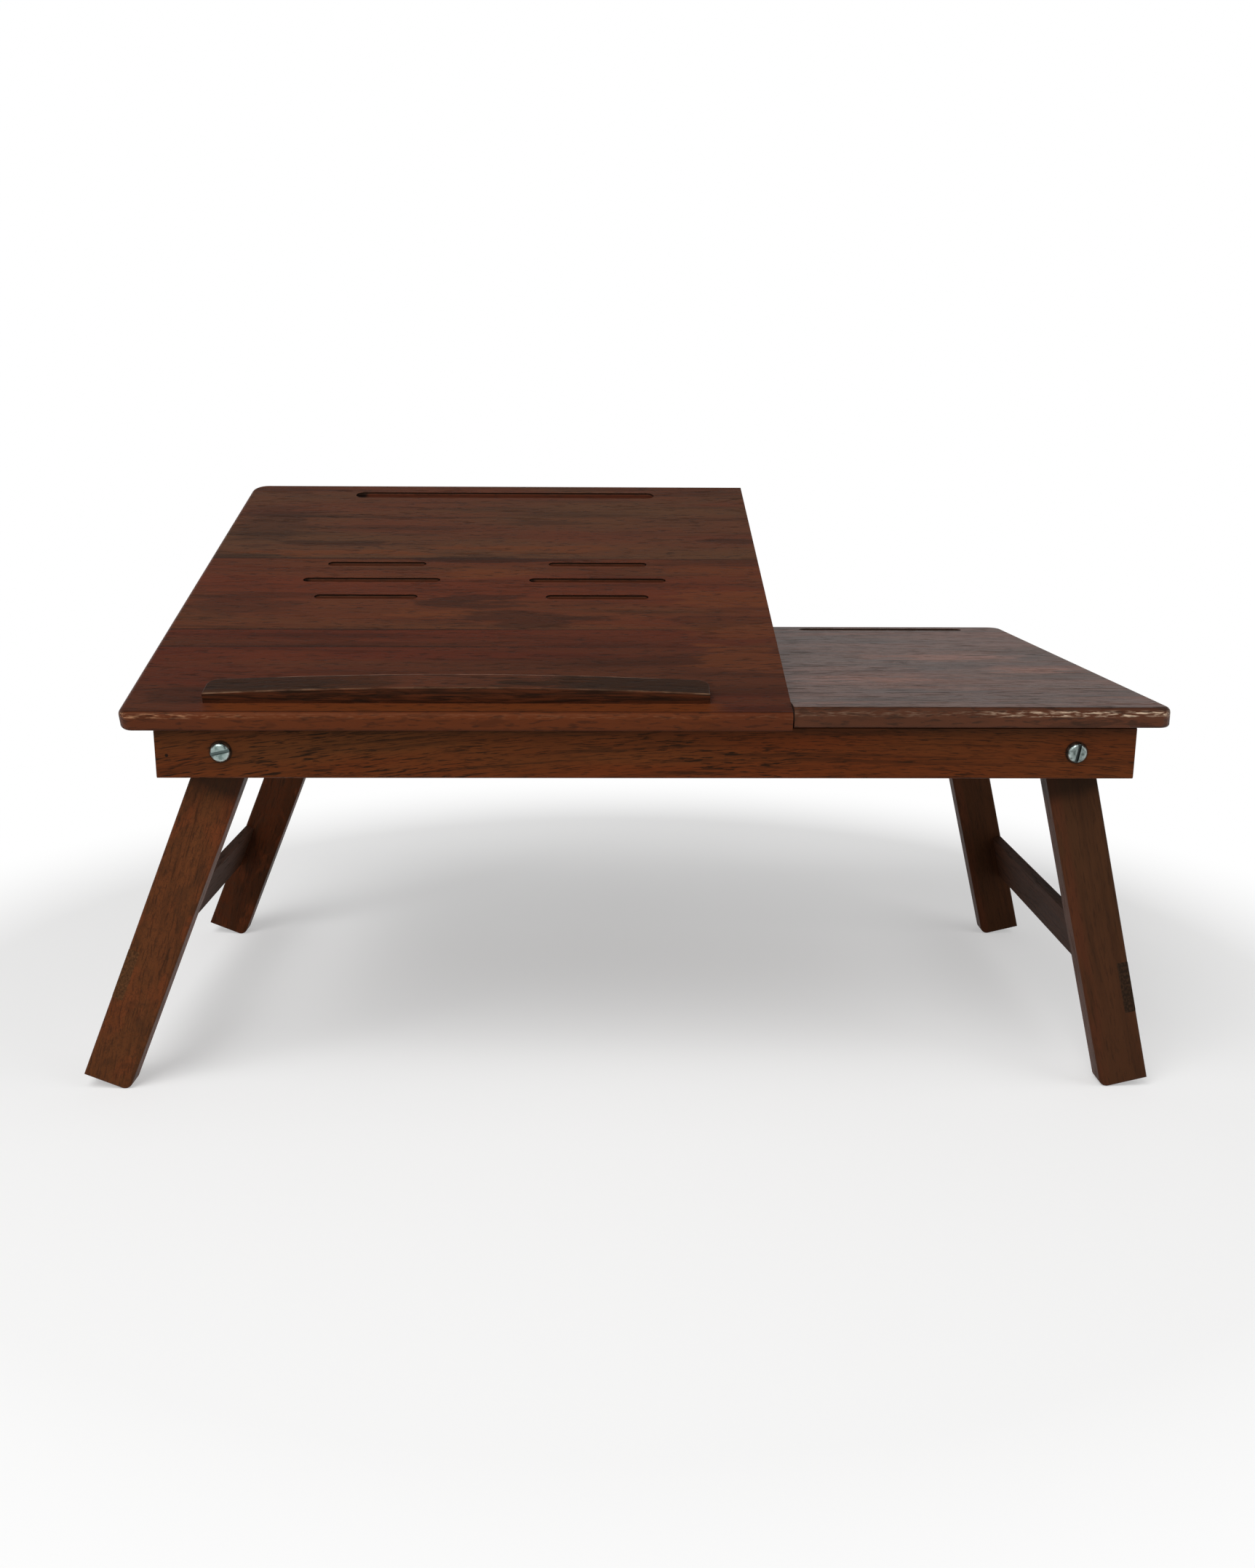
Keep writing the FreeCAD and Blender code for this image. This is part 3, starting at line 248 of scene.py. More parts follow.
def wood(name, place, tones, seed, layers=None, **look):
    """Lacquered open-grained wood with the plain look, but for what is given of it. Its tones are red body,
    brown body, dark streaks and pores. The piece's own layers lie between the streaks and the pores.
    """
    look = SimpleNamespace(**{**PLAIN, **look})
    paint = Paint(name, place)
    red, brown, dark, pore = tones
    slope, curve = look.bow
    bend = paint.times(paint.x, paint.plus(paint.times(paint.x, curve), slope))
    sway = paint.times(paint.less(paint.noise(SWAY), NOISE_MIDDLE), look.wavy)
    grain = paint.joined(paint.x, paint.less(paint.less(paint.y, bend), sway), paint.z)
    grain = paint.shifted(grain, tuple(seed * step for step in SEED_STEP))
    for seam in look.seams:
        beyond = paint.rise(paint.y, seam - PLANK_BLEND, seam + PLANK_BLEND)
        grain = paint.shifted(grain, paint.stretched(paint.joined(beyond, beyond, beyond), PLANK_STEP))
    paint.ragged = paint.noise(RAGGED, grain)

    colour = paint.mixed(paint.marks(BODY, grain), red, brown)
    cloud = paint.noise(CLOUDS, grain)
    shade = paint.ranged(cloud, 1 - look.mottle, 1 + look.mottle)
    colour = paint.mixed(1.0, colour, paint.joined(shade, shade, shade), "MULTIPLY")
    colour = paint.coat(colour, paint.marks(STREAKS, grain), Stain(dark, look.figure))
    lines = paint.noise(scaled(LINES, 1, look.fine), grain)
    colour = paint.coat(colour, paint.rise(lines, *LINES.levels), Stain(dark, LINE_SHARE * look.figure))
    if layers:
        colour = layers(paint, colour)
    cluster = paint.ranged(paint.marks(CLUSTERS, grain), *CLUSTER_SHARES)
    stroke = paint.times(paint.marks(scaled(STROKES, look.dash, look.fine), grain), cluster)
    colour = paint.coat(colour, stroke, Stain(pore, look.strokes))
    pit = paint.marks(scaled(PITS, 1, look.fine), grain)
    colour = paint.coat(colour, pit, Stain(pore, look.pores))

    rough = paint.ranged(cloud, look.rough - CLOUD_ROUGHNESS, look.rough + CLOUD_ROUGHNESS)
    rough = paint.plus(rough, paint.times(stroke, STROKE_ROUGHNESS))
    ripple = paint.noise(RIPPLE, grain)
    height = paint.plus(paint.times(ripple, RELIEF.ripple), paint.times(lines, RELIEF.lines))
    height = paint.less(height, paint.times(pit, RELIEF.pits))
    height = paint.less(height, paint.times(stroke, RELIEF.strokes))
    relief = paint.add("ShaderNodeBump", {"Strength": look.bump, "Distance": RELIEF.depth, "Height": height})
    paint.set(Base_Color=colour, Roughness=rough, Normal=relief.outputs[0])
    paint.set(Specular_IOR_Level=look.gloss, Specular_Tint=LACQUER_TINT)
    return paint.material


# Metal

DULL_SPOTS = Pattern((330, 330, 330), 3, levels=(0.42, 0.66))
SCRATCHES = Pattern((2600, 500, 900), 3, 0.4)
METAL_SEED_STEP = (1, 0.6, 0.3)
BRIGHTEST, DULLEST, SCRATCH_ROUGHNESS = -0.08, 0.14, 0.08
SCRATCH_BUMP, SCRATCH_DEPTH = 0.22, 0.0002


def metal(name, tone, stain, rough, seed, layers=None):
    """Plated or browned steel: fine scratches, dull patches and some staining."""
    paint = Paint(name, as_modelled)
    spots = paint.shifted(paint.point, tuple(seed * step for step in METAL_SEED_STEP))
    dull = paint.noise(DULL_SPOTS, spots)
    scratches = paint.noise(SCRATCHES, spots)
    colour = paint.coat(tone, paint.rise(dull, *DULL_SPOTS.levels), stain)
    if layers:
        colour = layers(paint, colour)
    roughness = paint.ranged(dull, rough + BRIGHTEST, rough + DULLEST)
    roughness = paint.plus(roughness, paint.times(scratches, SCRATCH_ROUGHNESS))
    relief = paint.add(
        "ShaderNodeBump", {"Strength": SCRATCH_BUMP, "Distance": SCRATCH_DEPTH, "Height": scratches})
    paint.set(Base_Color=colour, Roughness=roughness, Normal=relief.outputs[0], Metallic=1.0)
    return paint.material


# Layers that several pieces share. In what follows each pair of places or levels runs from none to full

OVAL_PULL, OVAL_RIM = 2.8, (1.0, 0.6)


def ovals(paint, colour, spots, tone):
    """Soft ovals with rims pulled about by a noise, each with its middle, half axes and most of the tone."""
    for middle, reach, most in spots:
        off_x = paint.times(paint.less(paint.x, middle[0]), 1 / reach[0])
        off_y = paint.times(paint.less(paint.y, middle[1]), 1 / reach[1])
        pull = paint.times(paint.less(paint.ragged, NOISE_MIDDLE), OVAL_PULL)
        spot = paint.rise(paint.plus(paint.distance(off_x, off_y), pull), *OVAL_RIM)
        colour = paint.coat(colour, spot, Stain(tone, most))
    return colour


# Grooves side by side, within reach of a middle; the painted shade of a left end starts and is full so far
# left of it
Grooves = namedtuple("Grooves", "middle reach left_end wall bed")

GROOVE_MARGIN = 0.002
WALL_DEPTH, BED_DEPTH = (0.0001, 0.0003), (0.0009, 0.0014)


def grooved(paint, colour, top, grooves):
    """Painted shade on the walls and left ends, and a paler bed, in grooves below a board's top."""
    depth = paint.less(top, paint.z)
    inside = paint.times(*(
        paint.rise(paint.apart(value, middle), reach, reach - GROOVE_MARGIN)
        for value, middle, reach in zip((paint.x, paint.y), grooves.middle, grooves.reach)))
    colour = paint.mixed(paint.times(paint.rise(depth, *WALL_DEPTH), inside), colour, grooves.wall)
    left = paint.rise(paint.less(grooves.middle[0], paint.x), *grooves.left_end)
    bed = paint.mixed(left, grooves.bed, grooves.wall)
    return paint.mixed(paint.times(paint.rise(depth, *BED_DEPTH), inside), colour, bed)


# A board's rounded front: where its face and the painted dark reflection along the top of it lie past the
# board's foremost Y
Front = namedtuple("Front", "y face stain arris line")

# A painted highlight in pale flecks along a front edge: its Y, their height and reach up and down, and along
# X where they are most
EdgeHighlight = namedtuple("EdgeHighlight", "y height reach tone worst most")

ARRIS_HALF_WIDTH = 0.0009
HIGHLIGHT_FLECKS = Pattern((170, 1300, 1300), 3, 0.3, levels=(0.44, 0.70))
HIGHLIGHT_FLECKS_REACH, LEAST_HIGHLIGHT = (0.006, 0.003), 0.1


def front_edge(paint, colour, front):
    """A front face of another tone, and a dark line along the top of it that is a painted reflection of the
    dim space above.
    """
    colour = paint.coat(colour, paint.rise(paint.y, *past(front.y, front.face)), front.stain)
    arris = paint.line(paint.y, front.y + front.arris, ARRIS_HALF_WIDTH)
    return paint.coat(colour, arris, front.line)


def edge_highlight(paint, colour, highlight):
    """A painted highlight in pale flecks along the rounding of a front edge."""
    band = paint.rise(paint.apart(paint.z, highlight.height), highlight.reach, highlight.reach / 3)
    near = paint.times(band, paint.rise(paint.y, *past(highlight.y, HIGHLIGHT_FLECKS_REACH)))
    share = paint.plus(paint.times(paint.rise(paint.x, *highlight.worst), highlight.most), LEAST_HIGHLIGHT)
    return paint.mixed(paint.times(paint.times(near, paint.marks(HIGHLIGHT_FLECKS)), share), colour, highlight.tone)


# Laptop board, with the planks that it is glued from

BOARD_SEAMS = (0.078, 0.103, 0.220)
BOARD_TINTS = ((0.88, 0.75, 0.78), (0.92, 0.79, 0.80), (1.09, 0.98, 0.90), (1.03, 1.15, 1.16))
TINT_BLEND = 0.0004
SEAM_TONE, SEAM_HALF_WIDTH = srgb(38, 23, 17), 0.0015
SEAM_DARKENS, SEAM_SHARES = (-0.02, -0.12), (0.3, 0.75)
BOARD_DARK, BOARD_WARM = srgb(44, 28, 22), srgb(98, 53, 30)
BOARD_FIGURE = (
    ((-0.258, 0.285), (0.034, 0.050), 0.36),
    ((-0.203, 0.2485), (0.062, 0.006), 0.55),
    ((-0.095, 0.2195), (0.062, 0.007), 0.62),
    ((-0.100, 0.149), (0.040, 0.014), 0.6),
    ((-0.062, 0.1185), (0.062, 0.013), 0.56),
    ((0.084, 0.254), (0.036, 0.006), 0.5),
    ((0.066, 0.118), (0.052, 0.011), 0.4),
    ((-0.252, 0.140), (0.040, 0.022), 0.35),
    ((-0.258, 0.012), (0.022, 0.012), 0.4),
)
BOARD_GLOW = (
    ((-0.200, 0.231), (0.085, 0.007), 0.6),
    ((-0.060, 0.239), (0.090, 0.008), 0.55),
    ((-0.092, 0.193), (0.034, 0.010), 0.6),
    ((-0.119, 0.128), (0.040, 0.008), 0.5),
    ((0.076, 0.152), (0.050, 0.016), 0.6),
    ((0.078, 0.200), (0.040, 0.012), 0.4),
    ((0.080, 0.062), (0.040, 0.022), 0.5),
    ((-0.230, 0.062), (0.080, 0.016), 0.15),
    ((0.078, 0.104), (0.045, 0.020), 0.5),
)
# Groove walls are painted near black: painted shade
GROOVE_WALL_SHADE, VENT_BED, PEN_BED = srgb(14, 5, 3), srgb(60, 28, 15), srgb(66, 30, 17)
VENT_MIDDLE, VENT_SPREAD, VENT_HEIGHT = -0.0917, 0.0775, 0.182
VENTS = Grooves((VENT_MIDDLE, VENT_HEIGHT), (0.055, 0.04), (0.041, 0.045), GROOVE_WALL_SHADE, VENT_BED)
BOARD_GROOVES = (
    VENTS._replace(middle=(VENT_MIDDLE - VENT_SPREAD, VENT_HEIGHT)),
    VENTS._replace(middle=(VENT_MIDDLE + VENT_SPREAD, VENT_HEIGHT)),
    Grooves((-0.0877, 0.3485), (0.125, 0.010), (0.107, 0.111), GROOVE_WALL_SHADE, PEN_BED),
)
STRIP_STAIN, STRIP_MIDDLE = Stain(srgb(97, 48, 18), 0.65), -0.09
STRIP_REACH, STRIP_BEFORE_LEDGE = (0.156, 0.140), (0.0005, -0.0007)
BOARD_FRONT = Front(
    y=board.low.y, face=(0.0038, 0.0028), stain=Stain(srgb(82, 39, 19), 0.75), arris=0.0034,
    line=Stain(srgb(44, 20, 12), 0.7))
# Painted shade low on the laptop board's front face
UNDER_SHADE, UNDER_SHADE_HEIGHT = Stain(srgb(40, 20, 12), 0.55), (0.00285, 0.00035)
# Painted highlight on the laptop board's front rounding, strongest at its left corner
BOARD_HIGHLIGHT = EdgeHighlight(
    y=board.low.y, height=board.high.z - 0.00185, reach=0.0017, tone=srgb(168, 124, 92),
    worst=(-0.200, -0.292), most=0.75)


def laptop_board_layers(paint, colour):
    """Planks and seams, warm and dark spots, grooves, a bright strip before the ledge, and the front edge."""
    tint = paint.joined(*BOARD_TINTS[0])
    for seam, tone in zip(BOARD_SEAMS, BOARD_TINTS[1:]):
        tint = paint.mixed(paint.rise(paint.y, seam - TINT_BLEND, seam + TINT_BLEND), tint, (*tone, 1.0))
    colour = paint.mixed(1.0, colour, tint, "MULTIPLY")
    dark = paint.ranged(paint.rise(paint.x, *SEAM_DARKENS), *SEAM_SHARES)
    for seam in BOARD_SEAMS:
        colour = paint.mixed(paint.times(paint.line(paint.y, seam, SEAM_HALF_WIDTH), dark), colour, SEAM_TONE)
    colour = ovals(paint, colour, BOARD_GLOW, BOARD_WARM)
    colour = ovals(paint, colour, BOARD_FIGURE, BOARD_DARK)
    for grooves in BOARD_GROOVES:
        colour = grooved(paint, colour, board.high.z, grooves)
    before_ledge = paint.rise(paint.y, *past(ledge.low.y, STRIP_BEFORE_LEDGE))
    beside_ledge = paint.rise(paint.apart(paint.x, STRIP_MIDDLE), *STRIP_REACH)
    colour = paint.coat(colour, paint.times(before_ledge, beside_ledge), STRIP_STAIN)
    # The front face's tone, and a painted dark reflection along the top of the rounding
    colour = front_edge(paint, colour, BOARD_FRONT)
    # Painted shade on the front face, darker towards its bottom
    face = paint.rise(paint.y, *past(BOARD_FRONT.y, BOARD_FRONT.face))
    under = paint.rise(paint.z, *past(board.low.z, UNDER_SHADE_HEIGHT))
    colour = paint.coat(colour, paint.times(face, under), UNDER_SHADE)
    # Painted highlight along the front rounding
    return edge_highlight(paint, colour, BOARD_HIGHLIGHT)


# Side board

SIDE_SEAMS = (-0.111, 0.055)
SIDE_DARK, SIDE_WARM = srgb(36, 28, 25), srgb(120, 72, 53)
SIDE_FIGURE = (
    ((0.220, -0.034), (0.045, 0.013), 0.6),
    ((0.168, 0.105), (0.055, 0.030), 0.45),
    ((0.300, 0.030), (0.030, 0.030), 0.4),
    ((0.190, -0.150), (0.110, 0.028), 0.4),
)
SIDE_GLOW = (
    ((0.240, 0.012), (0.065, 0.018), 0.7),
    ((0.275, -0.048), (0.040, 0.013), 0.7),
    ((0.160, -0.086), (0.050, 0.014), 0.65),
)
# The side groove is painted near black, wall and bed alike: painted shade
SIDE_GROOVE = Grooves((0.2178, 0.1705), (0.08, 0.010), (0.05, 0.06), srgb(8, 5, 4), srgb(12, 7, 5))
SIDE_FRONT = Front(
    y=side_board.low.y, face=(0.0039, 0.0027), stain=Stain(srgb(64, 32, 18), 0.8), arris=0.0029,
    line=Stain(srgb(40, 22, 14), 0.7))
# Painted highlight on the side board's front rounding, strongest towards its right end
SIDE_HIGHLIGHT = EdgeHighlight(
    y=side_board.low.y, height=side_board.high.z - 0.0036, reach=0.0024, tone=srgb(202, 178, 152),
    worst=(0.190, 0.262), most=0.75)


def side_board_layers(paint, colour):
    """Warm and dark spots, the groove and the front edge."""
    colour = ovals(paint, colour, SIDE_GLOW, SIDE_WARM)
    colour = ovals(paint, colour, SIDE_FIGURE, SIDE_DARK)
    colour = grooved(paint, colour, side_board.high.z, SIDE_GROOVE)
    # Painted dark reflection along the top of the front rounding, and a painted highlight below it
    return edge_highlight(paint, front_edge(paint, colour, SIDE_FRONT), SIDE_HIGHLIGHT)


# Ledge. Its top lies below the crown by its fall times the square of the distance from its middle

LEDGE_MIDDLE, LEDGE_FALL = (ledge.low.x + ledge.high.x) / 2, 0.185
LEDGE_DARK, LEDGE_WARM = srgb(42, 30, 23), srgb(84, 46, 31)
LEDGE_FIGURE = (((-0.205, 0.013), (0.055, 0.03), 0.5), ((0.018, 0.013), (0.050, 0.03), 0.7))
LEDGE_GLOW = (((-0.092, 0.012), (0.060, 0.02), 0.6), ((-0.120, 0.008), (0.030, 0.01), 0.5))
LEDGE_STREAKS = Pattern((34, 620, 620), 4, 0.4, levels=(0.36, 0.66))
FACE_PALE, FACE_DARK, FACE_MOST = srgb(74, 36, 19), srgb(33, 17, 10), 0.9
FACE_DEPTH = (0.0010, 0.0004)
# Painted highlight in pale flecks along the ledge's front and back arrises
ARRIS_HIGHLIGHT = Pattern((70, 90, 90), 3, levels=(0.40, 0.62))
ARRIS_HIGHLIGHT_REACH = (0.0008, 0.0004)
FRONT_ARRIS, BACK_ARRIS = ledge.low.y + 0.0002, ledge.high.y - 0.0005
FRONT_ARRIS_HIGHLIGHT, BACK_ARRIS_HIGHLIGHT = (0.15, 0.75), (0.6, 1.0)
FRONT_HIGHLIGHT_TONE, BACK_HIGHLIGHT_TONE = srgb(112, 86, 66), srgb(134, 100, 84)
LEDGE_LEFT, LEDGE_RIGHT, LEDGE_END_SHARES = (-0.150, -0.190), (-0.010, 0.010), (0.4, 1.0)
BACK_MIDDLE, BACK_REACH = -0.090, (0.125, 0.100)


def ledge_layers(paint, colour):
    """Warm and dark spots, a streaky front, and painted highlights along the arrises, the front one most at
    its ends.
    """
    colour = ovals(paint, colour, LEDGE_GLOW, LEDGE_WARM)
    colour = ovals(paint, colour, LEDGE_FIGURE, LEDGE_DARK)
    face = paint.rise(paint.y, *past(ledge.low.y, FACE_DEPTH))
    streaky = paint.mixed(paint.marks(LEDGE_STREAKS), FACE_PALE, FACE_DARK)
    colour = paint.coat(colour, face, Stain(streaky, FACE_MOST))
    off = paint.less(paint.x, LEDGE_MIDDLE)
    top = paint.less(ledge.high.z, paint.times(paint.times(off, off), LEDGE_FALL))
    below = paint.less(paint.z, top)
    ends = paint.plus(paint.rise(paint.x, *LEDGE_LEFT), paint.rise(paint.x, *LEDGE_RIGHT))
    ends = paint.ranged(ends, *LEDGE_END_SHARES)
    between = paint.rise(paint.apart(paint.x, BACK_MIDDLE), *BACK_REACH)
    for arris, where, shares, tone in (
            (FRONT_ARRIS, ends, FRONT_ARRIS_HIGHLIGHT, FRONT_HIGHLIGHT_TONE), (BACK_ARRIS, between, BACK_ARRIS_HIGHLIGHT, BACK_HIGHLIGHT_TONE)):
        near = paint.rise(paint.distance(paint.less(paint.y, arris), below), *ARRIS_HIGHLIGHT_REACH)
        glint = paint.ranged(paint.marks(ARRIS_HIGHLIGHT), *shares)
        colour = paint.mixed(paint.times(paint.times(near, glint), where), colour, tone)
    return colour


# Rails, in whose frame Y is the model's Z

# Painted shade: a dark ring round each bolt head, and a dark band along the rails' top under the boards
BOLT_RING_SHADE, BOLT_RING_SHADE_REACH = Stain(srgb(18, 13, 10), 0.8), (0.0072, 0.0063)
RAIL_TOP_SHADE, SHADE_BELOW_TOP = Stain(srgb(34, 21, 14), 0.55), (-0.0090, -0.0010)
RAIL_RED, RAIL_REDDENS = Stain(srgb(82, 35, 11), 0.25), (-0.05, 0.12)
NAIL_MARK, NAIL_REACH, NAIL_TONE = (-0.2643, 0.2197), (0.0013, 0.0007), srgb(22, 14, 10)


def rail_layers(paint, colour):
    """Painted shade round the bolt heads where they meet the rail, and painted shade along the rails' top
    under the boards.
    """
    for pivot in (left_pivot, right_pivot):
        off = paint.distance(paint.less(paint.x, pivot.x), paint.less(paint.y, pivot.z))
        colour = paint.coat(colour, paint.rise(off, *BOLT_RING_SHADE_REACH), BOLT_RING_SHADE)
    return paint.coat(colour, paint.rise(paint.y, *past(front_rail.high.y, SHADE_BELOW_TOP)), RAIL_TOP_SHADE)


def front_rail_layers(paint, colour):
    """Redder wood to the right, and the one dark nail mark that the photograph shows near the left end."""
    colour = paint.coat(colour, paint.rise(paint.x, *RAIL_REDDENS), RAIL_RED)
    off = paint.distance(paint.less(paint.x, NAIL_MARK[0]), paint.less(paint.y, NAIL_MARK[1]))
    return paint.mixed(paint.rise(off, *NAIL_REACH), rail_layers(paint, colour), NAIL_TONE)


# Legs and stretchers

LEG_SHADE, LEG_SHADE_REACH = Stain(srgb(26, 18, 13), 0.75), (0.037, 0.026)
LEG_WARM, WARM_SHIFT = Stain(srgb(108, 52, 26), 0.4), (3.1, 0.7, 0.2)
WARM_BLOTCHES = Pattern((30, 52, 52), 3, 0.8, levels=(0.50, 0.66))
LEG_DARK, DARK_BLOTCHES = Stain(srgb(44, 29, 19), 0.4), Pattern((42, 60, 60), 4, 1.2, levels=(0.52, 0.68))
LEG_CRINKLE, CRINKLES = Stain(srgb(52, 31, 19), 0.5), Pattern((380, 520, 520), 4, 1.5, levels=(0.46, 0.66))
LEG_STRIPE, STRIPE_INSIDE, STRIPE_RIM = Stain(srgb(82, 41, 26), 0.4), (-0.006, -0.011), (0.3, 0.55)
END_SPECKLE = Pattern((600, 500, 900), 3, levels=(0.4, 0.65))
END_DEPTH, END_MOST = (-0.0010, -0.0002), 0.9


def rail_shade(paint, colour):
    """Painted shade on a leg just below the rails' lower edge."""
    return paint.coat(colour, paint.rise(paint.x, *LEG_SHADE_REACH), LEG_SHADE)


def left_leg_layers(paint, colour):
    """Crinkled lacquer with red and dark blotches, and painted shade under the rail."""
    colour = paint.coat(colour, paint.marks(WARM_BLOTCHES, paint.shifted(paint.point, WARM_SHIFT)), LEG_WARM)
    colour = paint.coat(colour, paint.marks(DARK_BLOTCHES), LEG_DARK)
    colour = paint.coat(colour, paint.marks(CRINKLES), LEG_CRINKLE)
    return rail_shade(paint, colour)


def right_leg_layers(paint, colour):
    """A redder stripe along the inner edge, and painted shade under the rail."""
    stripe = paint.times(paint.rise(paint.y, *STRIPE_INSIDE), paint.rise(paint.ragged, *STRIPE_RIM))
    return rail_shade(paint, paint.coat(colour, stripe, LEG_STRIPE))


def end_grain(dark, pale):
    """A layer for the two cut ends of a stretcher."""
    near, far = stretcher[0].y, stretcher[1].y
    middle, half_length = (near + far) / 2, (far - near) / 2

    def layer(paint, colour):
        cut = paint.rise(paint.apart(paint.x, middle), *past(half_length, END_DEPTH))
        speckled = paint.mixed(paint.marks(END_SPECKLE), dark, pale)
        return paint.coat(colour, cut, Stain(speckled, END_MOST))
    return layer


# Bolts: each one's pivot, the lie of its slot, and the tones of the slot's painted shade and of the head's
# middle, a painted reflection

BOLTS = (
    (left_pivot, math.radians(12), (0.09, 0.12, 0.115, 1), (0.19, 0.26, 0.24, 1)),
    (right_pivot, math.radians(80), (0.045, 0.053, 0.050, 1), (0.085, 0.105, 0.095, 1)),
)
HEAD_REFLECTION_REACH, HEAD_REFLECTION_MOST = (0.0056, 0.0036), 0.6
SLOT_HALF_WIDTH, HEAD_REACH = (0.00115, 0.00085), (0.008, 0.007)


def bolt_layers(paint, colour):
    """Heads painted darker in the middle than at their rims, a painted reflection, and painted shade in the
    screwdriver slots.
    """
    for pivot, angle, slot_shade, middle in BOLTS:
        along_x, along_z = paint.less(paint.x, pivot.x), paint.less(paint.z, pivot.z)
        reach = paint.distance(along_x, along_z)
        # Painted reflection: the middle of the head darker, its rim left bright
        colour = paint.coat(colour, paint.rise(reach, *HEAD_REFLECTION_REACH), Stain(middle, HEAD_REFLECTION_MOST))
        # Painted shade in the slot, paler on the left bolt
        off = paint.less(paint.times(along_z, math.cos(angle)), paint.times(along_x, math.sin(angle)))
        slot = paint.rise(paint.compute("ABSOLUTE", off), *SLOT_HALF_WIDTH)
        colour = paint.mixed(paint.times(slot, paint.rise(reach, *HEAD_REACH)), colour, slot_shade)
    return colour


# The materials of all pieces

BOARD_TONES = (srgb(84, 43, 29), srgb(80, 49, 33), srgb(40, 27, 21), srgb(30, 19, 14))
SIDE_TONES = (srgb(94, 55, 40), srgb(82, 54, 42), srgb(43, 31, 26), srgb(24, 17, 14))
RAIL_TONES = (srgb(83, 37, 14), srgb(80, 44, 20), srgb(36, 20, 10), srgb(22, 13, 7))
LEDGE_TONES = (srgb(64, 34, 20), srgb(57, 35, 23), srgb(31, 22, 17), srgb(22, 16, 12))
LEFT_LEG_TONES = (srgb(90, 42, 21), srgb(85, 48, 25), srgb(44, 27, 16), srgb(32, 20, 13))
RIGHT_LEG_TONES = (srgb(66, 39, 24), srgb(63, 39, 24), srgb(41, 26, 18), srgb(30, 20, 14))
STRETCHER_TONES = (srgb(63, 39, 28), srgb(58, 40, 30), srgb(40, 29, 23), srgb(27, 20, 15))
LEFT_CUT_TONES = (srgb(70, 46, 28), srgb(90, 58, 35))
RIGHT_CUT_TONES = (srgb(32, 24, 18), srgb(52, 37, 26))


def darker(tones, share):
    return [(red * share, green * share, blue * share, 1.0) for red, green, blue, _ in tones]


materials = {
    "laptop_board": wood(
        "laptop_board_wood", on_board, BOARD_TONES, seed=1.0, layers=laptop_board_layers, bow=(0.012, 0.05),
        seams=BOARD_SEAMS, fine=260, figure=0.48, strokes=0.3, mottle=0.16, bump=0.3),
    "side_board": wood(
        "side_board_wood", as_modelled, SIDE_TONES, seed=4.2, layers=side_board_layers, bow=(0.05, -0.1),
        wavy=0.008, seams=SIDE_SEAMS, fine=230, figure=0.72, pores=0.6, mottle=0.25, rough=0.48, bump=0.7,
        gloss=0.26),
    "laptop_ledge": wood(
        "ledge_wood", on_board, LEDGE_TONES, seed=7.7, layers=ledge_layers, bow=(0.02, 0.0), fine=330,
        figure=0.75, rough=0.42, bump=0.3),
    "front_rail": wood(
        "front_rail_wood", along_rail, RAIL_TONES, seed=2.6, layers=front_rail_layers, bow=(0.045, -0.21),
        wavy=0.004, fine=840, dash=80, figure=0.75, strokes=0.9, pores=0.75),
    "back_rail": wood(
        "back_rail_wood", along_rail, RAIL_TONES, seed=9.1, layers=rail_layers, bow=(0.02, -0.1), strokes=0.7,
        pores=0.6),
    "left_end_rail": wood(
        "left_end_rail_wood", across_frame, RAIL_TONES, seed=5.3, bow=(0.02, 0.0), rough=0.48),
    "right_end_rail": wood(
        "right_end_rail_wood", across_frame, RAIL_TONES, seed=6.4, bow=(-0.03, 0.0), rough=0.48),
    "middle_bearer": wood("bearer_wood", across_frame, RAIL_TONES, seed=8.8, bow=(0.01, 0.0), rough=0.52),
}
# The far legs are the same woods painted darker: painted shade under the table
for end, left_lit_share, right_lit_share, end_seed in (("near", 1.0, 1.0, 7.1), ("far", 0.46, 0.72, 15.4)):
    materials[f"left_{end}_leg"] = wood(
        f"left_{end}_leg_wood", along_left, darker(LEFT_LEG_TONES, left_lit_share), seed=end_seed,
        layers=left_leg_layers, bow=(0.03, 0.2), wavy=0.005, figure=0.32, strokes=0.22, mottle=0.3, bump=0.5)
    materials[f"right_{end}_leg"] = wood(
        f"right_{end}_leg_wood", along_right, darker(RIGHT_LEG_TONES, right_lit_share), seed=end_seed + 1,
        layers=right_leg_layers, bow=(-0.02, 0.1), figure=0.35, strokes=0.25, pores=0.35, mottle=0.16,
        gloss=0.07)
for side, pivot, lean, cut_tones, side_seed in (
        ("left", left_pivot, left_lean, LEFT_CUT_TONES, 13.4),
        ("right", right_pivot, right_lean, RIGHT_CUT_TONES, 12.8)):
    materials[f"{side}_stretcher"] = wood(
        f"{side}_stretcher_wood", at_pivot(STRETCHER_AXES, pivot, lean), STRETCHER_TONES, seed=side_seed,
        layers=end_grain(*cut_tones), rough=0.6, gloss=0.05)

zinc = metal(
    "zinc_plate", tone=(0.47, 0.55, 0.53, 1), stain=Stain((0.05, 0.07, 0.066, 1), 0.9), rough=0.24, seed=0.3,
    layers=bolt_layers)
dull_zinc = metal(
    "dull_zinc", tone=(0.46, 0.46, 0.44, 1), stain=Stain((0.22, 0.19, 0.16, 1), 0.8), rough=0.40, seed=0.8)
browned = metal(
    "browned_steel", tone=(0.06, 0.042, 0.032, 1), stain=Stain((0.025, 0.018, 0.014, 1), 0.9), rough=0.52,
    seed=1.4)


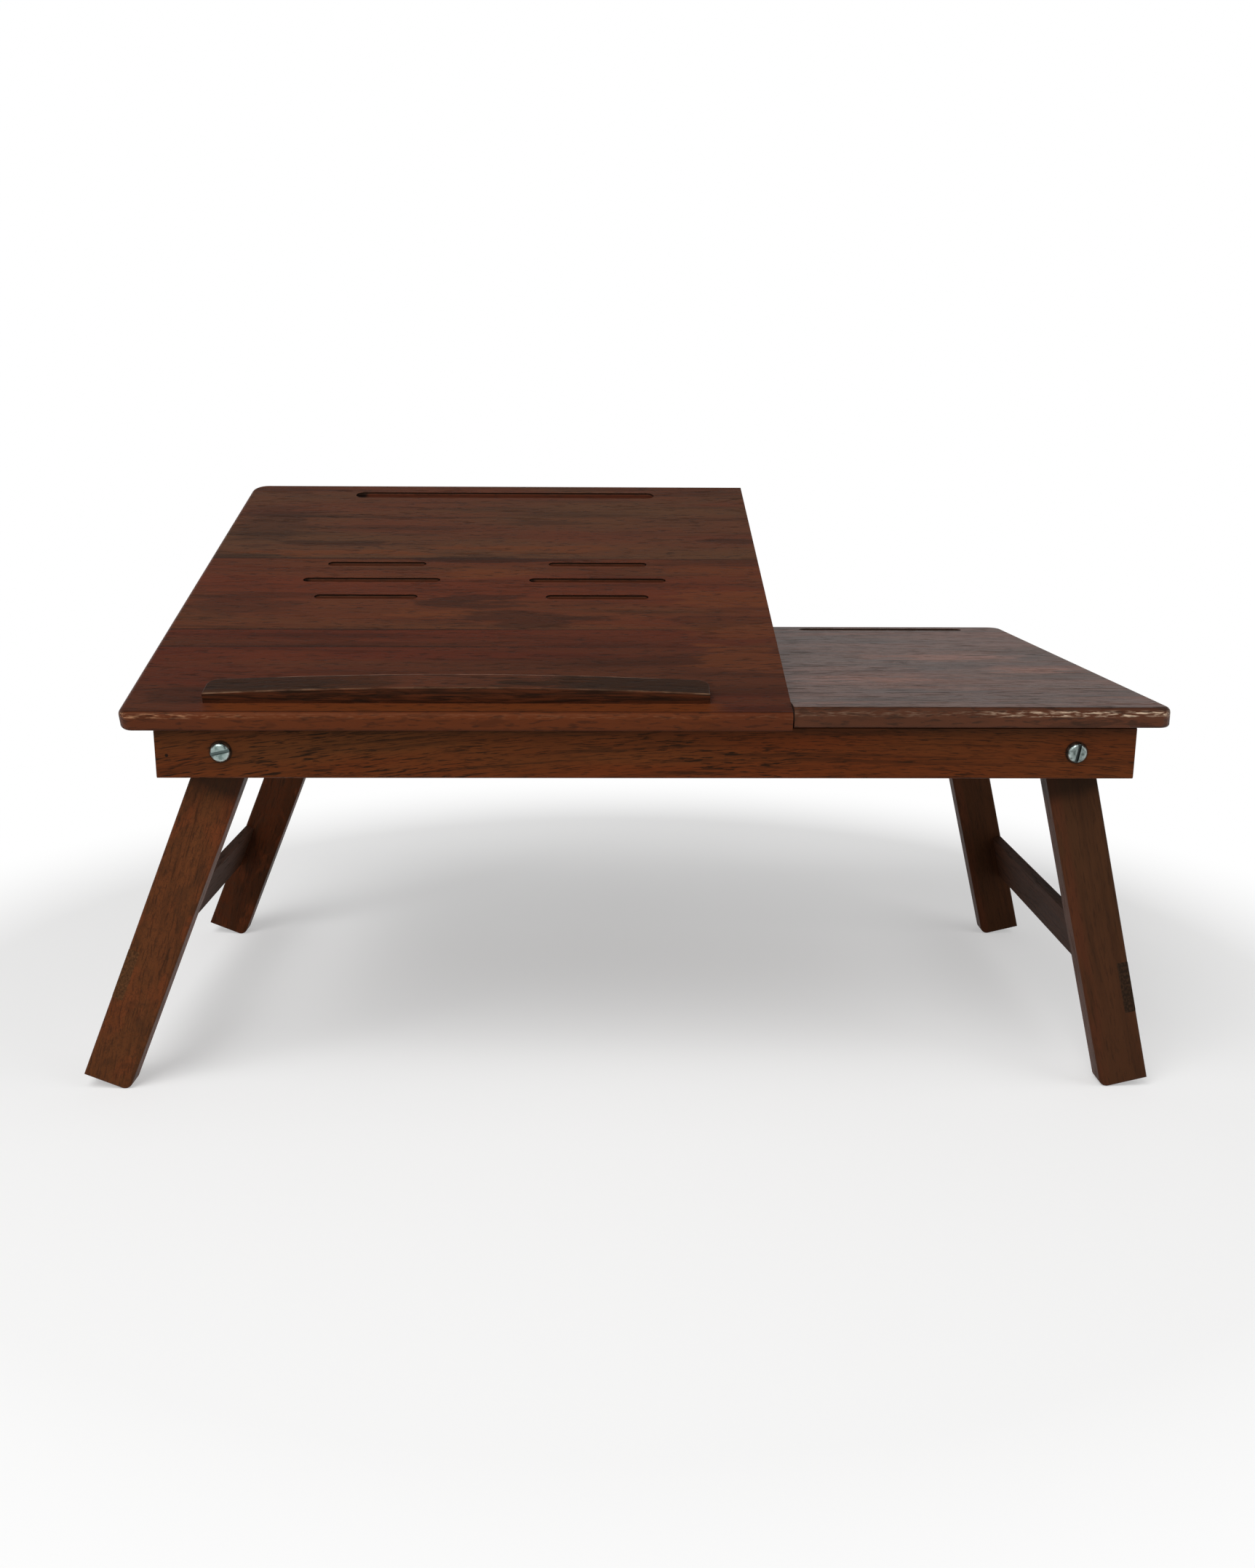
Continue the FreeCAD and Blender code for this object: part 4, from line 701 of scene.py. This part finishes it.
def fitting(name):
    """The material of a piece without one of its own. Brads are filled and stained over like the rail."""
    if name == "pivot_bolts":
        return zinc
    if name == "rail_brads":
        return materials["front_rail"]
    return browned if "hinge" in name else dull_zinc


for name, node in nodes.items():
    node.data.materials.clear()
    node.data.materials.append(materials.get(name) or fitting(name))


# Floor, light and camera

FLOOR_REACH = 14.0
FLOOR_CLOUDS, FLOOR_PALE = Pattern((3, 3, 3), 2), (0.95, 0.95, 0.945, 1)
FLOOR_GREY = Stain((0.90, 0.90, 0.89, 1), 0.06)
FLOOR_ROUGHNESS, FLOOR_GLOSS = 0.9, 0.1
FLOOR_FADE, FLOOR_LIFT = (0.36, 0.70), 0.38
WHITE = (1, 1, 1, 1)
SWEEP = {"From Min": 0.30, "From Max": 0.52, "To Min": 1.0, "To Max": 0.12}
LAMP_AIM = (0, 0, 0.2)
CAMERA_PLACE = (-0.00842, -0.99294, 0.39562)
CAMERA_PITCH, CAMERA_HEADING, CAMERA_ROLL = (math.radians(angle) for angle in (13.382, 0.906, 0.250))
SENSOR, FOCAL_PIXELS, PHOTO_HEIGHT, CLIP_START = 36.0, 1946.7, 2156, 0.01


def floor():
    """A pale floor that fades into the white surround, lightened where it is seen but not where it lights."""
    data = bpy.data.meshes.new("floor")
    reach = FLOOR_REACH
    corners = [(-reach, -reach, 0), (reach, -reach, 0), (reach, reach, 0), (-reach, reach, 0)]
    data.from_pydata(corners, [], [(0, 1, 2, 3)])
    ground = bpy.data.objects.new("floor", data)
    bpy.context.scene.collection.objects.link(ground)
    paint = Paint("floor_paint", as_modelled)
    pale = paint.coat(FLOOR_PALE, paint.noise(FLOOR_CLOUDS), FLOOR_GREY)
    paint.set(Base_Color=pale, Roughness=FLOOR_ROUGHNESS, Specular_IOR_Level=FLOOR_GLOSS)
    white = paint.add("ShaderNodeEmission", {"Color": WHITE, "Strength": 1.0})
    off = paint.distance(paint.x, paint.y)
    rays = paint.add("ShaderNodeLightPath").outputs
    seen = paint.plus(paint.plus(rays["Is Camera Ray"], rays["Is Glossy Ray"]), rays["Is Transmission Ray"])
    share = paint.compute("MAXIMUM", paint.rise(off, *FLOOR_FADE), paint.times(seen, FLOOR_LIFT))
    blend = paint.add("ShaderNodeMixShader", {0: share, 1: paint.shader.outputs[0], 2: white.outputs[0]})
    paint.feed(paint.tree.nodes["Material Output"].inputs["Surface"], blend.outputs[0])
    data.materials.append(paint.material)


def surround():
    """White up to a little over the horizon, as a studio sweep is, and dim above it."""
    world = bpy.data.worlds.new("surround")
    bpy.context.scene.world = world
    world.use_nodes = True
    tree = world.node_tree
    here = tree.nodes.new("ShaderNodeTexCoord")
    split = tree.nodes.new("ShaderNodeSeparateXYZ")
    tree.links.new(here.outputs["Generated"], split.inputs[0])
    ramp = tree.nodes.new("ShaderNodeMapRange")
    ramp.interpolation_type = "SMOOTHSTEP"
    tree.links.new(split.outputs["Z"], ramp.inputs["Value"])
    for key, value in SWEEP.items():
        ramp.inputs[key].default_value = value
    tree.links.new(ramp.outputs[0], tree.nodes["Background"].inputs["Strength"])
    tree.nodes["Background"].inputs["Color"].default_value = WHITE


def lamp(name, place, width, power):
    """A square lamp aimed at the table."""
    data = bpy.data.lights.new(name, "AREA")
    data.shape = "SQUARE"
    data.size = width
    data.energy = power
    light = bpy.data.objects.new(name, data)
    bpy.context.scene.collection.objects.link(light)
    light.location = place
    light.rotation_euler = (Vector(LAMP_AIM) - Vector(place)).to_track_quat("-Z", "Y").to_euler()


def photo_camera():
    """The photograph's own view: place, pitch, heading, roll and focal length fitted to its edges."""
    pitch, heading, roll = CAMERA_PITCH, CAMERA_HEADING, CAMERA_ROLL
    forward = Vector((
        math.sin(heading) * math.cos(pitch), math.cos(heading) * math.cos(pitch), -math.sin(pitch)))
    right = Vector((math.cos(heading), -math.sin(heading), 0))
    up = right.cross(forward)
    turned_right = right * math.cos(roll) + up * math.sin(roll)
    turned_up = up * math.cos(roll) - right * math.sin(roll)
    data = bpy.data.cameras.new("photo_camera")
    data.sensor_width = SENSOR
    data.lens = SENSOR * FOCAL_PIXELS / PHOTO_HEIGHT
    data.clip_start = CLIP_START
    camera = bpy.data.objects.new("photo_camera", data)
    bpy.context.scene.collection.objects.link(camera)
    turn = Matrix((turned_right, turned_up, -forward)).transposed().to_4x4()
    camera.matrix_world = Matrix.Translation(CAMERA_PLACE) @ turn
    bpy.context.scene.camera = camera


floor()
surround()
lamp("key", place=(-0.7, -1.3, 2.1), width=1.6, power=40)
lamp("fill", place=(1.5, -0.6, 1.7), width=1.4, power=9)
photo_camera()
bpy.context.scene.view_settings.view_transform = "Standard"
